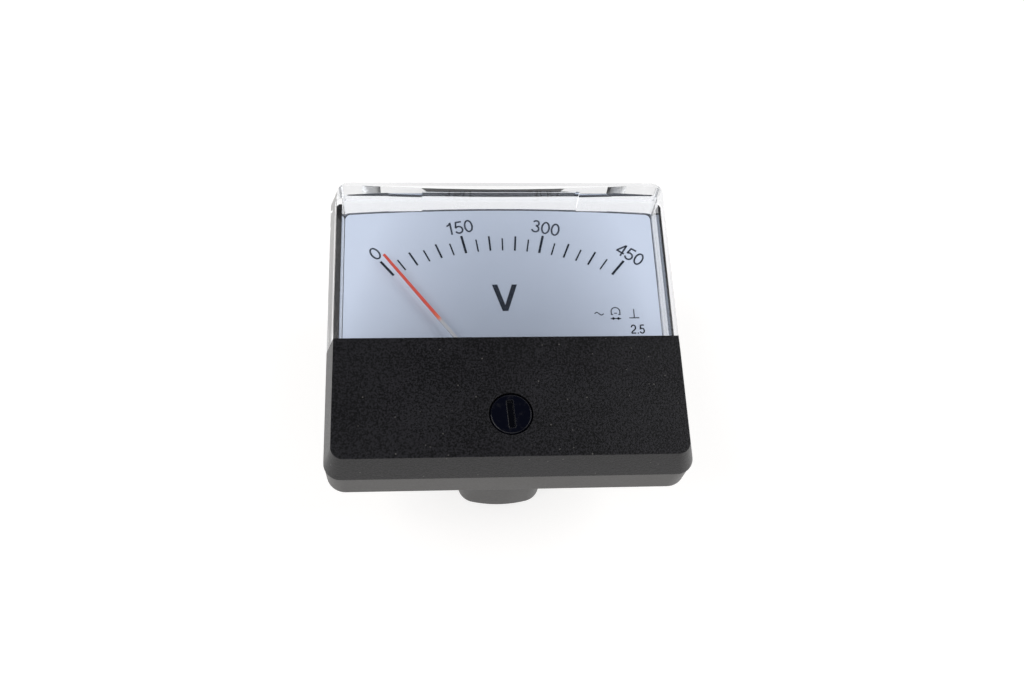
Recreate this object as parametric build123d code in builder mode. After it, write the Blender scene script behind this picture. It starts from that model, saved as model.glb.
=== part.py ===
from build123d import *

import os
from math import asin, cos, degrees, pi, radians, sin, sqrt

# A moving-coil panel meter with a square bezel and a round barrel.
# It lies on its back: +Z comes out of the dial, +Y points to the top of the dial.
# The origin is where the barrel's axis meets the face that seats on the panel.

os.makedirs("parts", exist_ok=True)

# Bezel, cover and face
bezel_width = 51.2
bezel_height = 45.6
face_flare = 1.3
cover_depth = 5.0
cover_plate = 1.8
cover_wall = 1.2
face_corner_radius = 1.75
bezel_corner_radius = 2.45
cover_inner_radius = 0.9
mask_height = 17.6

# Flange tray, barrel and rear block
flange_depth = 5.6
flange_corner_radius = 2.8
tray_wall = 2.0
rim_width = 0.5
side_rim_width = 1.15
rim_clearance = 0.05
skirt_clearance = 0.1
tray_floor = 1.6
tray_corner_radius = 0.9
barrel_radius = 19.0
barrel_length = 10.0
barrel_wall = 1.5
block_width = 13.0
block_step = 0.2
block_depth = 11.0
block_top_y = 15.5
block_corner_radius = 2.8

# Dial and scale
dial_setback = 7.5
dial_thickness = 0.5
dial_arch_rise = 0.8
dial_margin = 0.05
ink_thickness = 0.03
scale_span = 79.86
division_count = 18
major_step = 6
tick_arc_radius = 34.36
tick_arc_drop = 10.43
major_length = 3.05
middle_length = 2.52
minor_length = 2.1
major_width = 0.36
middle_width = 0.28
minor_width = 0.22

# Movement axis, beside and below the middle of the barrel
pivot_x = 0.33
pivot_y = -10.2

# Magnet, poles and core
pole_setback = 0.5
pole_depth = 6.0
pole_reach = 9.3
pole_top_y = 8.0
pole_bottom_y = -13.9
pole_bore_radius = 5.05
magnet_width = 9.0
magnet_bottom_y = -3.5
horn_gap = 5.2
carrier_bar = 1.4
carrier_web_width = 2.4
carrier_web_depth = 4.0
core_radius = 3.6

# Coil
coil_air_gap = 0.3
coil_end_gap = 0.6
former_thickness = 0.25
winding_thickness = 0.55
coil_width = 2.4
former_width = 2.0

# Shafts and bearings
shaft_radius = 0.5
shaft_pad_length = 3.0
shaft_pad_width = 2.0
shaft_pad_thickness = 0.3
pivot_pin_radius = 0.2
pivot_pin_length = 0.7
bearing_clearance = 0.05
jewel_screw_radius = 1.1
jewel_slot_width = 0.35
jewel_slot_depth = 0.4
jewel_nut_size = 3.6
jewel_nut_height = 0.6
running_gap = 0.05

# Needle
needle_rise = 1.25
needle_thickness = 0.2
needle_length = 28.8
needle_offset = 0.6
needle_rest_angle = 127.3
needle_root_width = 0.6
needle_tip_width = 0.38
needle_hub_radius = 1.2
needle_hub_height = 0.45
balance_reach = 4.5
balance_arm_width = 0.5
balance_bead_radius = 0.45
balance_bead_length = 1.1
stop_overtravel = 5.0
stop_radius = 0.4
stop_distance = 6.0
stop_height = 5.7

# Hairsprings
spring_inner_radius = 0.8
spring_outer_radius = 2.0
spring_turns = 3.5
spring_strip = 0.08
spring_width = 0.3
spring_points_per_turn = 16
collet_height = 0.4
anchor_gap = 0.06
anchor_thickness = 0.5
anchor_width = 1.0

# Front and rear bridges
bridge_sheet = 0.9
bridge_width = 3.0
bridge_clear_height = 6.7
bridge_leg_reach = 5.6
bridge_foot_length = 2.8
rear_strap_width = 5.0
rear_strap_drop = 5.7
rear_foot_y = 0.5
rear_foot_length = 3.0
rear_foot_reach = 8.0

# Zero adjuster
screw_y = -15.4
screw_head_radius = 2.92
screw_head_gap = 0.15
screw_head_depth = 1.0
screw_head_bevel = 0.18
screw_shank_radius = 1.8
screw_snap_lip = 0.25
screw_slot_width = 0.9
screw_slot_length = 4.0
screw_slot_depth = 0.8
screw_slot_angle = 94.0
screw_tail = 0.6
eccentric_throw = 0.6
eccentric_radius = 0.5
eccentric_slack = 0.1
zero_arm_thickness = 0.4
zero_arm_width = 2.8
zero_arm_hub_radius = 1.9
zero_arm_tail = 0.5

# Latches that hold the cover in the tray
latch_width = 5.0
latch_x = 14.35
latch_thickness = 0.8
latch_clearance = 0.15
latch_rib = 0.08
latch_dial_gap = 0.3

# Dial cut-out and its fixings
notch_half_width = 9.4
notch_top_y = -5.2
dial_bottom_y = -9.8
dial_screw_x = 15.0
dial_screw_y = -7.2
dial_post_radius = 2.2

# Small screws
small_shank_radius = 0.7
small_head_radius = 1.1
small_head_height = 0.8
small_screw_bite = 3.0
frame_shank_radius = 1.0
frame_head_radius = 1.7
frame_head_height = 1.2
frame_screw_x = 7.0
frame_screw_y = 5.8
frame_pad_radius = 2.0
lower_pad_y = -12.6
lower_pad_radius = 1.3
front_screw_x = 7.9
rear_screw_x = 6.7
screw_end_gap = 0.3

# Rectifier board
board_length = 15.0
board_width = 5.4
board_thickness = 1.0
board_y = 12.6
board_height = 4.0
board_post_radius = 1.3
board_post_inset = 1.5
diode_radius = 0.8
diode_length = 3.0
diode_pitch_x = 4.6
diode_pitch_y = 2.2
wire_radius = 0.25
wire_stub = 0.7
resistor_radius = 1.1
resistor_length = 6.5
resistor_rise = 3.0

# Inner leads
lead_radius = 0.3
lead_bend = 0.6
lead_inset = 0.7
lead_lift = 1.4
terminal_lead_swing = 1.0
terminal_lead_rise = 2.5
coil_lead_x = 4.6
front_lead_gap = 1.3
rear_lead_gap = 0.4

# Terminals and mounting studs
terminal_x = 12.0
terminal_radius = 2.0
terminal_boss_radius = 4.2
terminal_boss_height = 1.0
terminal_length = 8.6
terminal_head_size = 6.0
terminal_head_height = 1.2
terminal_nut_size = 7.0
terminal_nut_height = 2.4
terminal_groove_length = 0.7
terminal_groove_depth = 0.3
terminal_washer_radius = 4.4
terminal_washer_thickness = 0.5
tag_thickness = 0.4
tag_ring_radius = 3.6
tag_tongue_width = 2.4
tag_tongue_reach = 6.5
tag_hole_radius = 0.5
tag_hole_inset = 1.1
stud_radius = 1.5
stud_length = 11.5
stud_spacing_x = 40.0
stud_spacing_y = 34.0
stud_shank_radius = 1.7
stud_root_radius = 2.0
stud_root_height = 1.4
stud_boss_radius = 3.2
stud_cover = 0.6

# One overrun serves every cut that passes right through
overrun = 1.0

# Heights that the pieces share
front_z = flange_depth + cover_depth
plate_back_z = front_z - cover_plate
dial_z = front_z - dial_setback
ledge_z = dial_z - dial_thickness
barrel_rear_z = -barrel_length
barrel_floor_z = barrel_rear_z + barrel_wall
block_radius = barrel_radius - block_step
block_length = block_radius + block_top_y
block_middle_y = (block_top_y - block_radius) / 2
block_rear_z = barrel_rear_z - block_depth
block_floor_z = block_rear_z + barrel_wall
pole_front_z = -pole_setback
pole_rear_z = pole_front_z - pole_depth
coil_inner_front_z = pole_front_z + coil_end_gap
coil_inner_rear_z = pole_rear_z - coil_end_gap
coil_front_z = coil_inner_front_z + former_thickness + winding_thickness
coil_rear_z = coil_inner_rear_z - former_thickness - winding_thickness
needle_z = dial_z + needle_rise
needle_top_z = needle_z + needle_thickness
front_collet_z = needle_top_z + 2 * running_gap
front_shaft_end_z = front_collet_z + collet_height + 2 * running_gap
front_jewel_z = front_shaft_end_z + coil_air_gap
bridge_z = pole_front_z + bridge_clear_height
bridge_top_z = bridge_z + bridge_sheet
arm_z = bridge_top_z + running_gap
arm_top_z = arm_z + zero_arm_thickness
front_nut_z = arm_top_z + running_gap
front_jewel_top_z = front_nut_z + jewel_nut_height + running_gap
rear_collet_z = coil_rear_z - shaft_pad_thickness - collet_height - coil_end_gap
rear_shaft_end_z = rear_collet_z - coil_air_gap
rear_jewel_z = rear_shaft_end_z - coil_air_gap
rear_strap_z = pole_rear_z - rear_strap_drop
rear_jewel_end_z = rear_strap_z - jewel_nut_height - jewel_slot_depth
boss_rear_z = barrel_rear_z - terminal_boss_height
board_z = barrel_floor_z + board_height

# Widths and places that the pieces share
face_width = bezel_width - 2 * face_flare
face_height = bezel_height - 2 * face_flare
mask_top_y = mask_height - face_height / 2
tray_half_width = bezel_width / 2 - tray_wall
tray_half_height = bezel_height / 2 - tray_wall
former_reach = core_radius + coil_air_gap
winding_reach = former_reach + former_thickness
coil_reach = winding_reach + winding_thickness
coil_rest_angle = scale_span / 2
pivot_plane = Plane((pivot_x, pivot_y, 0))
needle_plane = Plane((pivot_x, pivot_y, 0)).rotated((0, 0, needle_rest_angle - 90))
screw_hole_radius = screw_shank_radius + bearing_clearance


def save(piece, name):
    """Label one finished piece and write it as its own file."""
    piece.part.label = name
    export_step(piece.part, f"parts/{name}.step")


def pivot_level(height):
    """The plane at this height whose origin is on the movement's axis."""
    return pivot_plane.offset(height)


def arch_drop(x):
    """How far the arched top edge of the tray has dropped at x."""
    arch_radius = (tray_half_width**2 + dial_arch_rise**2) / (2 * dial_arch_rise)
    return arch_radius - sqrt(arch_radius**2 - x**2)


def arched_outline(margin, side_margin=None):
    """Draw the tray's inner outline, this much inside its wall, or by another margin at the sides."""
    right = tray_half_width - (margin if side_margin is None else side_margin)
    top = tray_half_height - margin
    corner_y = top - arch_drop(right)
    with BuildLine() as outline:
        bottom = Line((-right, -top), (right, -top))
        side = Line(bottom @ 1, (right, corner_y))
        arch = ThreePointArc(side @ 1, (0, top), (-right, corner_y))
        Line(arch @ 1, bottom @ 0)
    return outline.line


def arched_prism(base_z, top_z, margin, side_margin=None):
    """A block with the tray's arched outline, between two heights."""
    with BuildPart() as block:
        with BuildSketch(Plane.XY.offset(base_z)):
            with BuildLine():
                add(arched_outline(margin, side_margin))
            make_face()
            fillet(vertices(), tray_corner_radius)
        extrude(amount=top_z - base_z)
    return block.part


def above_seam(base_z):
    """A block over this height and above the seam, wider than the bezel."""
    with BuildPart() as block:
        with BuildSketch(Plane.XY.offset(base_z)):
            with Locations((0, mask_top_y)):
                Rectangle(bezel_width + overrun, bezel_height, align=(Align.CENTER, Align.MIN))
        extrude(amount=front_z)
    return block.part


def cover_loft(top_inset, bottom_inset, top_z, top_radius, bottom_radius):
    """Loft the cover's flared shape from the tray's edge up to top_z."""
    rise_share = (front_z - top_z) / cover_depth
    top_width = face_width + 2 * face_flare * rise_share - 2 * top_inset
    top_height = face_height + 2 * face_flare * rise_share - 2 * top_inset
    with BuildPart() as shape:
        with BuildSketch(Plane.XY.offset(flange_depth)):
            RectangleRounded(bezel_width - 2 * bottom_inset, bezel_height - 2 * bottom_inset, bottom_radius)
        with BuildSketch(Plane.XY.offset(top_z)):
            RectangleRounded(top_width, top_height, top_radius)
        loft()
    return shape.part


def latch_tabs(side):
    """Two tabs under the cover's plate: ribs on the clear wall at the top, or free ones in the tray below."""
    if side > 0:
        inner_y = tray_half_height - arch_drop(latch_x + latch_width / 2) - latch_rib
    else:
        inner_y = tray_half_height - latch_clearance - latch_thickness
    middle_y = side * (inner_y + latch_thickness / 2)
    tab_height = plate_back_z - dial_z - latch_dial_gap
    with BuildPart() as tabs:
        with BuildSketch(Plane.XY.offset(plate_back_z)):
            with Locations((-latch_x, middle_y), (latch_x, middle_y)):
                Rectangle(latch_width, latch_thickness)
        extrude(amount=-tab_height)
    return tabs.part


def stop_place(side):
    """Where a stop post stands, from the pivot: -1 is the zero end, 1 the full-scale end."""
    travel = stop_overtravel if side < 0 else -scale_span - stop_overtravel
    reach = stop_radius + needle_root_width / 2 - side * needle_offset
    angle = radians(needle_rest_angle + travel) - side * asin(reach / stop_distance)
    return (stop_distance * cos(angle), stop_distance * sin(angle))


def spring_points(offset):
    """Points along the spiral, moved out by this offset."""
    count = round(spring_turns * spring_points_per_turn)
    rise = spring_outer_radius - spring_inner_radius
    points = []
    for index in range(count + 1):
        share = index / count
        radius = spring_inner_radius + rise * share + offset
        angle = pi / 2 - 2 * pi * spring_turns * (1 - share)
        points.append((radius * cos(angle), radius * sin(angle)))
    return points


def hairspring(base_z):
    """A flat spiral strip with a collet on the shaft, from base_z up."""
    strip_lift = (collet_height - spring_width) / 2
    with BuildPart() as spring:
        with BuildSketch(pivot_level(base_z)):
            Circle(spring_inner_radius)
            Circle(shaft_radius, mode=Mode.SUBTRACT)
        extrude(amount=collet_height)
        with BuildSketch(pivot_level(base_z + strip_lift)):
            with BuildLine():
                inner = Spline(*spring_points(-spring_strip / 2))
                outer = Spline(*spring_points(spring_strip / 2))
                Line(inner @ 0, outer @ 0)
                Line(inner @ 1, outer @ 1)
            make_face()
        extrude(amount=spring_width)
    return spring


def shaft(pad_z, end_z, direction):
    """A steel shaft on its pad, with a thin pivot at its end, along +Z or -Z."""
    pad_end_z = pad_z + direction * shaft_pad_thickness
    with BuildPart() as pin:
        with BuildSketch(pivot_level(pad_z)):
            with Locations(Rotation(0, 0, coil_rest_angle)):
                Rectangle(shaft_pad_length, shaft_pad_width)
        extrude(amount=direction * shaft_pad_thickness)
        with BuildSketch(pivot_level(pad_end_z)):
            Circle(shaft_radius)
        extrude(amount=end_z - pad_end_z)
        with BuildSketch(pivot_level(end_z)):
            Circle(pivot_pin_radius)
        extrude(amount=direction * pivot_pin_length)
    return pin


def jewel_screw(face_z, end_z):
    """A bearing screw with a pivot hole in its face and a slot in its other end."""
    direction = 1 if end_z > face_z else -1
    hole_depth = pivot_pin_length - abs(face_z - front_shaft_end_z if direction > 0 else rear_shaft_end_z - face_z)
    with BuildPart() as screw:
        with BuildSketch(pivot_level(face_z)):
            Circle(jewel_screw_radius)
        extrude(amount=end_z - face_z)
        with BuildSketch(pivot_level(face_z)):
            Circle(pivot_pin_radius + bearing_clearance)
        extrude(amount=direction * (hole_depth + bearing_clearance), mode=Mode.SUBTRACT)
        with BuildSketch(pivot_level(end_z)):
            Rectangle(2 * jewel_screw_radius + overrun, jewel_slot_width)
        extrude(amount=-direction * jewel_slot_depth, mode=Mode.SUBTRACT)
    return screw


def hex_nut(plane_z, size, height, bore, centres):
    """Nuts of this size across their flats, one at each centre."""
    with BuildPart() as nuts:
        with BuildSketch(Plane.XY.offset(plane_z)):
            with Locations(*centres):
                RegularPolygon(size / 2, 6, major_radius=False)
                Circle(bore, mode=Mode.SUBTRACT)
        extrude(amount=height)
    return nuts


def slotted_screws(seat_z, direction, centres, shank_radius, head_radius, head_height, shank_length):
    """Cheese-head screws whose heads sit on seat_z and whose shanks run the other way."""
    with BuildPart() as screws:
        with BuildSketch(Plane.XY.offset(seat_z)):
            with Locations(*centres):
                Circle(head_radius)
        extrude(amount=direction * head_height)
        with BuildSketch(Plane.XY.offset(seat_z)):
            with Locations(*centres):
                Circle(shank_radius)
        extrude(amount=-direction * shank_length)
        with BuildSketch(Plane.XY.offset(seat_z + direction * head_height)):
            with Locations(*centres):
                Rectangle(2 * head_radius + overrun, head_radius / 3)
        extrude(amount=-direction * head_height / 2, mode=Mode.SUBTRACT)
    return screws


# Places of the screws, terminals and studs
dial_screw_places = [(side * dial_screw_x, dial_screw_y) for side in (-1, 1)]
frame_screw_places = [(pivot_x + side * frame_screw_x, frame_screw_y) for side in (-1, 1)]
lower_pad_places = [(pivot_x + side * frame_screw_x, lower_pad_y) for side in (-1, 1)]
front_screw_places = [(pivot_x + side * front_screw_x, pivot_y) for side in (-1, 1)]
rear_screw_y = rear_foot_y + rear_foot_length / 2
rear_screw_places = [(pivot_x + side * rear_screw_x, rear_screw_y) for side in (-1, 1)]
board_post_places = [(side * (board_length / 2 - board_post_inset), board_y) for side in (-1, 1)]
terminal_places = [(side * terminal_x, 0) for side in (-1, 1)]
stud_places = [
    (side * stud_spacing_x / 2, end * stud_spacing_y / 2)
    for side in (-1, 1)
    for end in (-1, 1)
]
stud_root_z = ledge_z - stud_cover - stud_root_height
frame_screw_length = pole_depth + (pole_rear_z - barrel_floor_z) - screw_end_gap
dial_screw_length = small_screw_bite + dial_thickness
board_screw_length = small_screw_bite

# Cover: one flared front, clear above the seam and black below it
cover_outer = cover_loft(0, 0, front_z, face_corner_radius, bezel_corner_radius)
cover_inner = cover_loft(cover_wall, cover_wall, plate_back_z, cover_inner_radius, bezel_corner_radius - cover_wall)

# The clear half stands on the base's rim, and its skirt goes down outside it
rim_margins = (-rim_width, -side_rim_width)
rim_gap_margins = (-rim_width - rim_clearance, -side_rim_width - rim_clearance)
with BuildPart() as window_cover:
    add(cover_outer)
    with BuildSketch(Plane.XY.offset(skirt_clearance)):
        RectangleRounded(bezel_width, bezel_height, bezel_corner_radius)
    extrude(amount=flange_depth - skirt_clearance)
    add(arched_prism(dial_z, plate_back_z, 0), mode=Mode.SUBTRACT)
    add(arched_prism(0, dial_z + rim_clearance, *rim_gap_margins), mode=Mode.SUBTRACT)
    add(latch_tabs(1))
    split(bisect_by=Plane.XZ.offset(-mask_top_y), keep=Keep.BOTTOM)
save(window_cover, "window_cover")

with BuildPart() as lower_mask:
    add(cover_outer)
    add(cover_inner, mode=Mode.SUBTRACT)
    add(latch_tabs(-1))
    split(bisect_by=Plane.XZ.offset(-mask_top_y), keep=Keep.TOP)
    with BuildSketch(Plane.XY.offset(front_z)):
        with Locations((0, screw_y)):
            Circle(screw_head_radius + screw_head_gap)
    extrude(amount=-screw_head_depth, mode=Mode.SUBTRACT)
    with BuildSketch(Plane.XY.offset(front_z)):
        with Locations((0, screw_y)):
            Circle(screw_hole_radius)
    extrude(amount=-cover_plate - overrun, mode=Mode.SUBTRACT)
save(lower_mask, "lower_mask")

# Zero screw: a head in the counterbore, a snap lip behind the plate, an eccentric pin
screw_lip_z = plate_back_z - running_gap
screw_tail_z = screw_lip_z - screw_tail
with BuildPart() as zero_screw:
    with BuildSketch(Plane.XY.offset(front_z - screw_head_depth + running_gap)):
        with Locations((0, screw_y)):
            Circle(screw_head_radius)
    extrude(amount=screw_head_depth - 2 * running_gap)
    chamfer(zero_screw.faces().sort_by(Axis.Z)[-1].edges(), length=screw_head_bevel)
    with BuildSketch(Plane.XY.offset(front_z - screw_head_depth + running_gap)):
        with Locations((0, screw_y)):
            Circle(screw_shank_radius)
    extrude(amount=screw_tail_z - (front_z - screw_head_depth + running_gap))
    with BuildSketch(Plane.XY.offset(screw_lip_z)):
        with Locations((0, screw_y)):
            Circle(screw_shank_radius + screw_snap_lip)
    extrude(amount=-screw_tail / 2)
    with BuildSketch(Plane.XY.offset(screw_tail_z)):
        with Locations((0, screw_y - eccentric_throw)):
            Circle(eccentric_radius)
    extrude(amount=arm_z - screw_tail_z)
    with BuildSketch(Plane.XY.offset(front_z)):
        with Locations(Location((0, screw_y, 0), (0, 0, screw_slot_angle))):
            Rectangle(screw_slot_length, screw_slot_width)
    extrude(amount=-screw_slot_depth, mode=Mode.SUBTRACT)
save(zero_screw, "zero_screw")

# Base: the tray behind the bezel, the barrel through the panel and the rear block
with BuildPart() as base_housing:
    with BuildSketch(Plane.XY):
        RectangleRounded(bezel_width, bezel_height, flange_corner_radius)
    extrude(amount=flange_depth)
    add(above_seam(0), mode=Mode.SUBTRACT)
    add(arched_prism(0, dial_z, *rim_margins))
    with BuildSketch(Plane.XY.offset(tray_floor)):
        with BuildLine():
            add(arched_outline(0))
        make_face()
        fillet(vertices(), tray_corner_radius)
    extrude(amount=flange_depth, mode=Mode.SUBTRACT)
    with BuildSketch(Plane.XY.offset(tray_floor)):
        with BuildLine():
            add(arched_outline(0))
        make_face()
        with BuildLine():
            add(arched_outline(tray_wall))
        make_face(mode=Mode.SUBTRACT)
        fillet(vertices(), tray_corner_radius)
    extrude(amount=ledge_z - tray_floor)
    with BuildSketch(Plane.XY.offset(barrel_rear_z)):
        Circle(barrel_radius)
    extrude(amount=barrel_length)
    with BuildSketch(Plane.XY.offset(block_rear_z)):
        Circle(block_radius)
        with Locations((0, block_middle_y)):
            Rectangle(block_width, block_length, mode=Mode.INTERSECT)
        fillet(vertices(), block_corner_radius)
    extrude(amount=block_depth)
    with BuildSketch(Plane.XY.offset(barrel_floor_z)):
        Circle(barrel_radius - barrel_wall)
    extrude(amount=tray_floor - barrel_floor_z, mode=Mode.SUBTRACT)
    with BuildSketch(Plane.XY.offset(block_floor_z)):
        Circle(block_radius - barrel_wall)
        with Locations((0, block_middle_y)):
            Rectangle(block_width - 2 * barrel_wall, block_length - 2 * barrel_wall, mode=Mode.INTERSECT)
        fillet(vertices(), block_corner_radius - barrel_wall)
    extrude(amount=barrel_floor_z - block_floor_z, mode=Mode.SUBTRACT)
    with BuildSketch(Plane.XY.offset(barrel_floor_z)):
        with Locations(*dial_screw_places):
            Circle(dial_post_radius)
    extrude(amount=ledge_z - barrel_floor_z)
    with BuildSketch(Plane.XY.offset(barrel_floor_z)):
        with Locations(*frame_screw_places):
            Circle(frame_pad_radius)
        with Locations(*lower_pad_places):
            Circle(lower_pad_radius)
    extrude(amount=pole_rear_z - barrel_floor_z)
    with BuildSketch(Plane.XY.offset(barrel_floor_z)):
        with Locations(*board_post_places):
            Circle(board_post_radius)
    extrude(amount=board_height)
    with BuildSketch(Plane.XY.offset(tray_floor)):
        with Locations(*stud_places):
            Circle(stud_boss_radius)
    extrude(amount=ledge_z - tray_floor)
    with BuildSketch(Plane.XY.offset(boss_rear_z)):
        with Locations(*terminal_places):
            Circle(terminal_boss_radius)
    extrude(amount=terminal_boss_height)
    with Locations(*[(x, y, ledge_z) for x, y in dial_screw_places]):
        Hole(small_shank_radius, depth=small_screw_bite + screw_end_gap)
    with Locations(*[(x, y, pole_rear_z) for x, y in frame_screw_places]):
        Hole(frame_shank_radius, depth=pole_rear_z - barrel_floor_z)
    with Locations(*[(x, y, board_z) for x, y in board_post_places]):
        Hole(small_shank_radius, depth=board_screw_length)
    with Locations(*[(x, y, barrel_floor_z) for x, y in terminal_places]):
        Hole(terminal_radius, depth=barrel_wall + terminal_boss_height)
    with BuildSketch(Plane.XY):
        with Locations(*stud_places):
            Circle(stud_shank_radius)
    extrude(amount=stud_root_z, mode=Mode.SUBTRACT)
    with BuildSketch(Plane.XY.offset(stud_root_z)):
        with Locations(*stud_places):
            Circle(stud_root_radius)
    extrude(amount=stud_root_height, mode=Mode.SUBTRACT)
save(base_housing, "base_housing")

# Dial plate: a thin sheet on the tray's ledge, notched round the movement
with BuildPart() as dial_plate:
    with BuildSketch(Plane.XY.offset(ledge_z)):
        with BuildLine():
            add(arched_outline(dial_margin))
        make_face()
        fillet(vertices(), tray_corner_radius)
        with Locations((0, dial_bottom_y)):
            Rectangle(bezel_width, bezel_height, align=(Align.CENTER, Align.MAX), mode=Mode.SUBTRACT)
        with Locations((pivot_x, notch_top_y)):
            Rectangle(2 * notch_half_width, bezel_height, align=(Align.CENTER, Align.MAX), mode=Mode.SUBTRACT)
        with Locations(*dial_screw_places):
            Circle(small_shank_radius, mode=Mode.SUBTRACT)
    extrude(amount=dial_thickness)
save(dial_plate, "dial_plate")

# Scale marks: they point at the pivot and start on one flat arc
with BuildPart() as scale_marks:
    for index in range(division_count + 1):
        swing = radians(scale_span * (index / division_count - 1 / 2))
        start = sqrt(tick_arc_radius**2 - (tick_arc_drop * sin(swing)) ** 2) - tick_arc_drop * cos(swing)
        if index % major_step == 0:
            length, width = major_length, major_width
        elif index % 2 == 0:
            length, width = middle_length, middle_width
        else:
            length, width = minor_length, minor_width
        middle = start + length / 2
        place = Location((middle * sin(swing), middle * cos(swing), 0), (0, 0, -degrees(swing)))
        with BuildSketch(pivot_level(dial_z)):
            with Locations(place):
                Rectangle(width, length)
        extrude(amount=ink_thickness)
save(scale_marks, "scale_marks")

save(
    slotted_screws(
        dial_z, 1, dial_screw_places, small_shank_radius, small_head_radius, small_head_height, dial_screw_length
    ),
    "dial_screws",
)

# Poles: soft iron on each side of the magnet, bored together round the coil
for side, side_name in ((-1, "left"), (1, "right")):
    with BuildPart() as pole_piece:
        with BuildSketch(Plane((pivot_x, 0, pole_rear_z))):
            with BuildLine():
                Polyline(
                    (side * magnet_width / 2, pole_top_y),
                    (side * pole_reach, pole_top_y),
                    (side * pole_reach, pole_bottom_y),
                    (side * horn_gap / 2, pole_bottom_y),
                    (side * horn_gap / 2, magnet_bottom_y - carrier_bar),
                    (side * magnet_width / 2, magnet_bottom_y - carrier_bar),
                    close=True,
                )
            make_face()
            with Locations((0, pivot_y)):
                Circle(pole_bore_radius, mode=Mode.SUBTRACT)
            with Locations((side * frame_screw_x, frame_screw_y)):
                Circle(frame_shank_radius, mode=Mode.SUBTRACT)
        extrude(amount=pole_depth)
        with Locations((pivot_x + side * front_screw_x, pivot_y, pole_front_z)):
            Hole(small_shank_radius, depth=small_screw_bite)
        with Locations(Location((pivot_x + side * rear_screw_x, rear_screw_y, pole_rear_z), (180, 0, 0))):
            Hole(small_shank_radius, depth=small_screw_bite)
        with Locations((pivot_x, pivot_y, pole_front_z)):
            with Locations(stop_place(side)):
                Hole(stop_radius, depth=small_screw_bite / 2)
    save(pole_piece, f"{side_name}_pole_piece")

with BuildPart() as magnet:
    with BuildSketch(Plane((pivot_x, magnet_bottom_y, pole_rear_z))):
        Rectangle(magnet_width, pole_top_y - magnet_bottom_y, align=(Align.CENTER, Align.MIN))
    extrude(amount=pole_depth)
save(magnet, "magnet")

with BuildPart() as iron_core:
    with BuildSketch(pivot_level(pole_rear_z)):
        Circle(core_radius)
    extrude(amount=pole_depth)
save(iron_core, "iron_core")

# Core carrier: a bar between the poles, with a web that reaches down to the core
web_z = pole_rear_z + (pole_depth - carrier_web_depth) / 2
with BuildPart() as core_carrier:
    with BuildSketch(Plane((pivot_x, magnet_bottom_y, web_z))):
        Rectangle(magnet_width, carrier_bar, align=(Align.CENTER, Align.MAX))
        web_length = magnet_bottom_y - pivot_y
        Rectangle(carrier_web_width, web_length, align=(Align.CENTER, Align.MAX))
        with Locations((0, pivot_y - magnet_bottom_y)):
            Circle(core_radius, mode=Mode.SUBTRACT)
    extrude(amount=carrier_web_depth)
save(core_carrier, "core_carrier")

# Coil: a light frame round the core, wound on its outside, turned to the zero mark
coil_plane = Plane(
    origin=(pivot_x, pivot_y, 0),
    x_dir=(cos(radians(coil_rest_angle)), sin(radians(coil_rest_angle)), 0),
    z_dir=(sin(radians(coil_rest_angle)), -cos(radians(coil_rest_angle)), 0),
)
coil_middle_z = (coil_inner_front_z + coil_inner_rear_z) / 2
coil_inner_height = coil_inner_front_z - coil_inner_rear_z
with BuildPart() as coil_former:
    with BuildSketch(coil_plane):
        with Locations((0, coil_middle_z)):
            Rectangle(2 * winding_reach, coil_inner_height + 2 * former_thickness)
            Rectangle(2 * former_reach, coil_inner_height, mode=Mode.SUBTRACT)
    extrude(amount=former_width / 2, both=True)
save(coil_former, "coil_former")

with BuildPart() as coil_winding:
    with BuildSketch(coil_plane):
        with Locations((0, coil_middle_z)):
            Rectangle(2 * coil_reach, coil_front_z - coil_rear_z)
            Rectangle(2 * winding_reach, coil_inner_height + 2 * former_thickness, mode=Mode.SUBTRACT)
    extrude(amount=coil_width / 2, both=True)
save(coil_winding, "coil_winding")

save(shaft(coil_front_z, front_shaft_end_z, 1), "front_shaft")
save(shaft(coil_rear_z, rear_shaft_end_z, -1), "rear_shaft")
save(hairspring(front_collet_z), "front_hairspring")
save(hairspring(rear_collet_z), "rear_hairspring")

# Needle: a stamped blade, tail and cross arms on a hub, turned to the zero mark
with BuildPart() as needle:
    with BuildSketch(needle_plane.offset(needle_z)):
        Circle(needle_hub_radius)
        with BuildLine():
            Polyline(
                (-needle_offset - needle_root_width / 2, 0),
                (-needle_offset - needle_tip_width / 2, needle_length),
                (-needle_offset + needle_tip_width / 2, needle_length),
                (-needle_offset + needle_root_width / 2, 0),
                close=True,
            )
        make_face()
        Rectangle(2 * balance_reach, balance_arm_width)
        Rectangle(balance_arm_width, balance_reach, align=(Align.CENTER, Align.MAX))
        Circle(shaft_radius, mode=Mode.SUBTRACT)
    extrude(amount=needle_thickness)
    with BuildSketch(needle_plane.offset(needle_z)):
        Circle(needle_hub_radius)
        Circle(shaft_radius, mode=Mode.SUBTRACT)
    extrude(amount=-needle_hub_height)
save(needle, "needle")

# Balance weights: a bead threaded on each cross arm and on the tail
bead_distance = balance_reach - balance_bead_length
with BuildPart() as balance_weights:
    for turn in (90, 180, 270):
        bead_plane = Plane((pivot_x, pivot_y, needle_z + needle_thickness / 2)).rotated(
            (0, 0, needle_rest_angle - 90 + turn)
        )
        bead_start = Plane(bead_plane.from_local_coords((0, bead_distance, 0)), bead_plane.x_dir, bead_plane.y_dir)
        with BuildSketch(bead_start):
            Circle(balance_bead_radius)
            Rectangle(balance_arm_width, needle_thickness, mode=Mode.SUBTRACT)
        extrude(amount=balance_bead_length)
save(balance_weights, "balance_weights")

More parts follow.
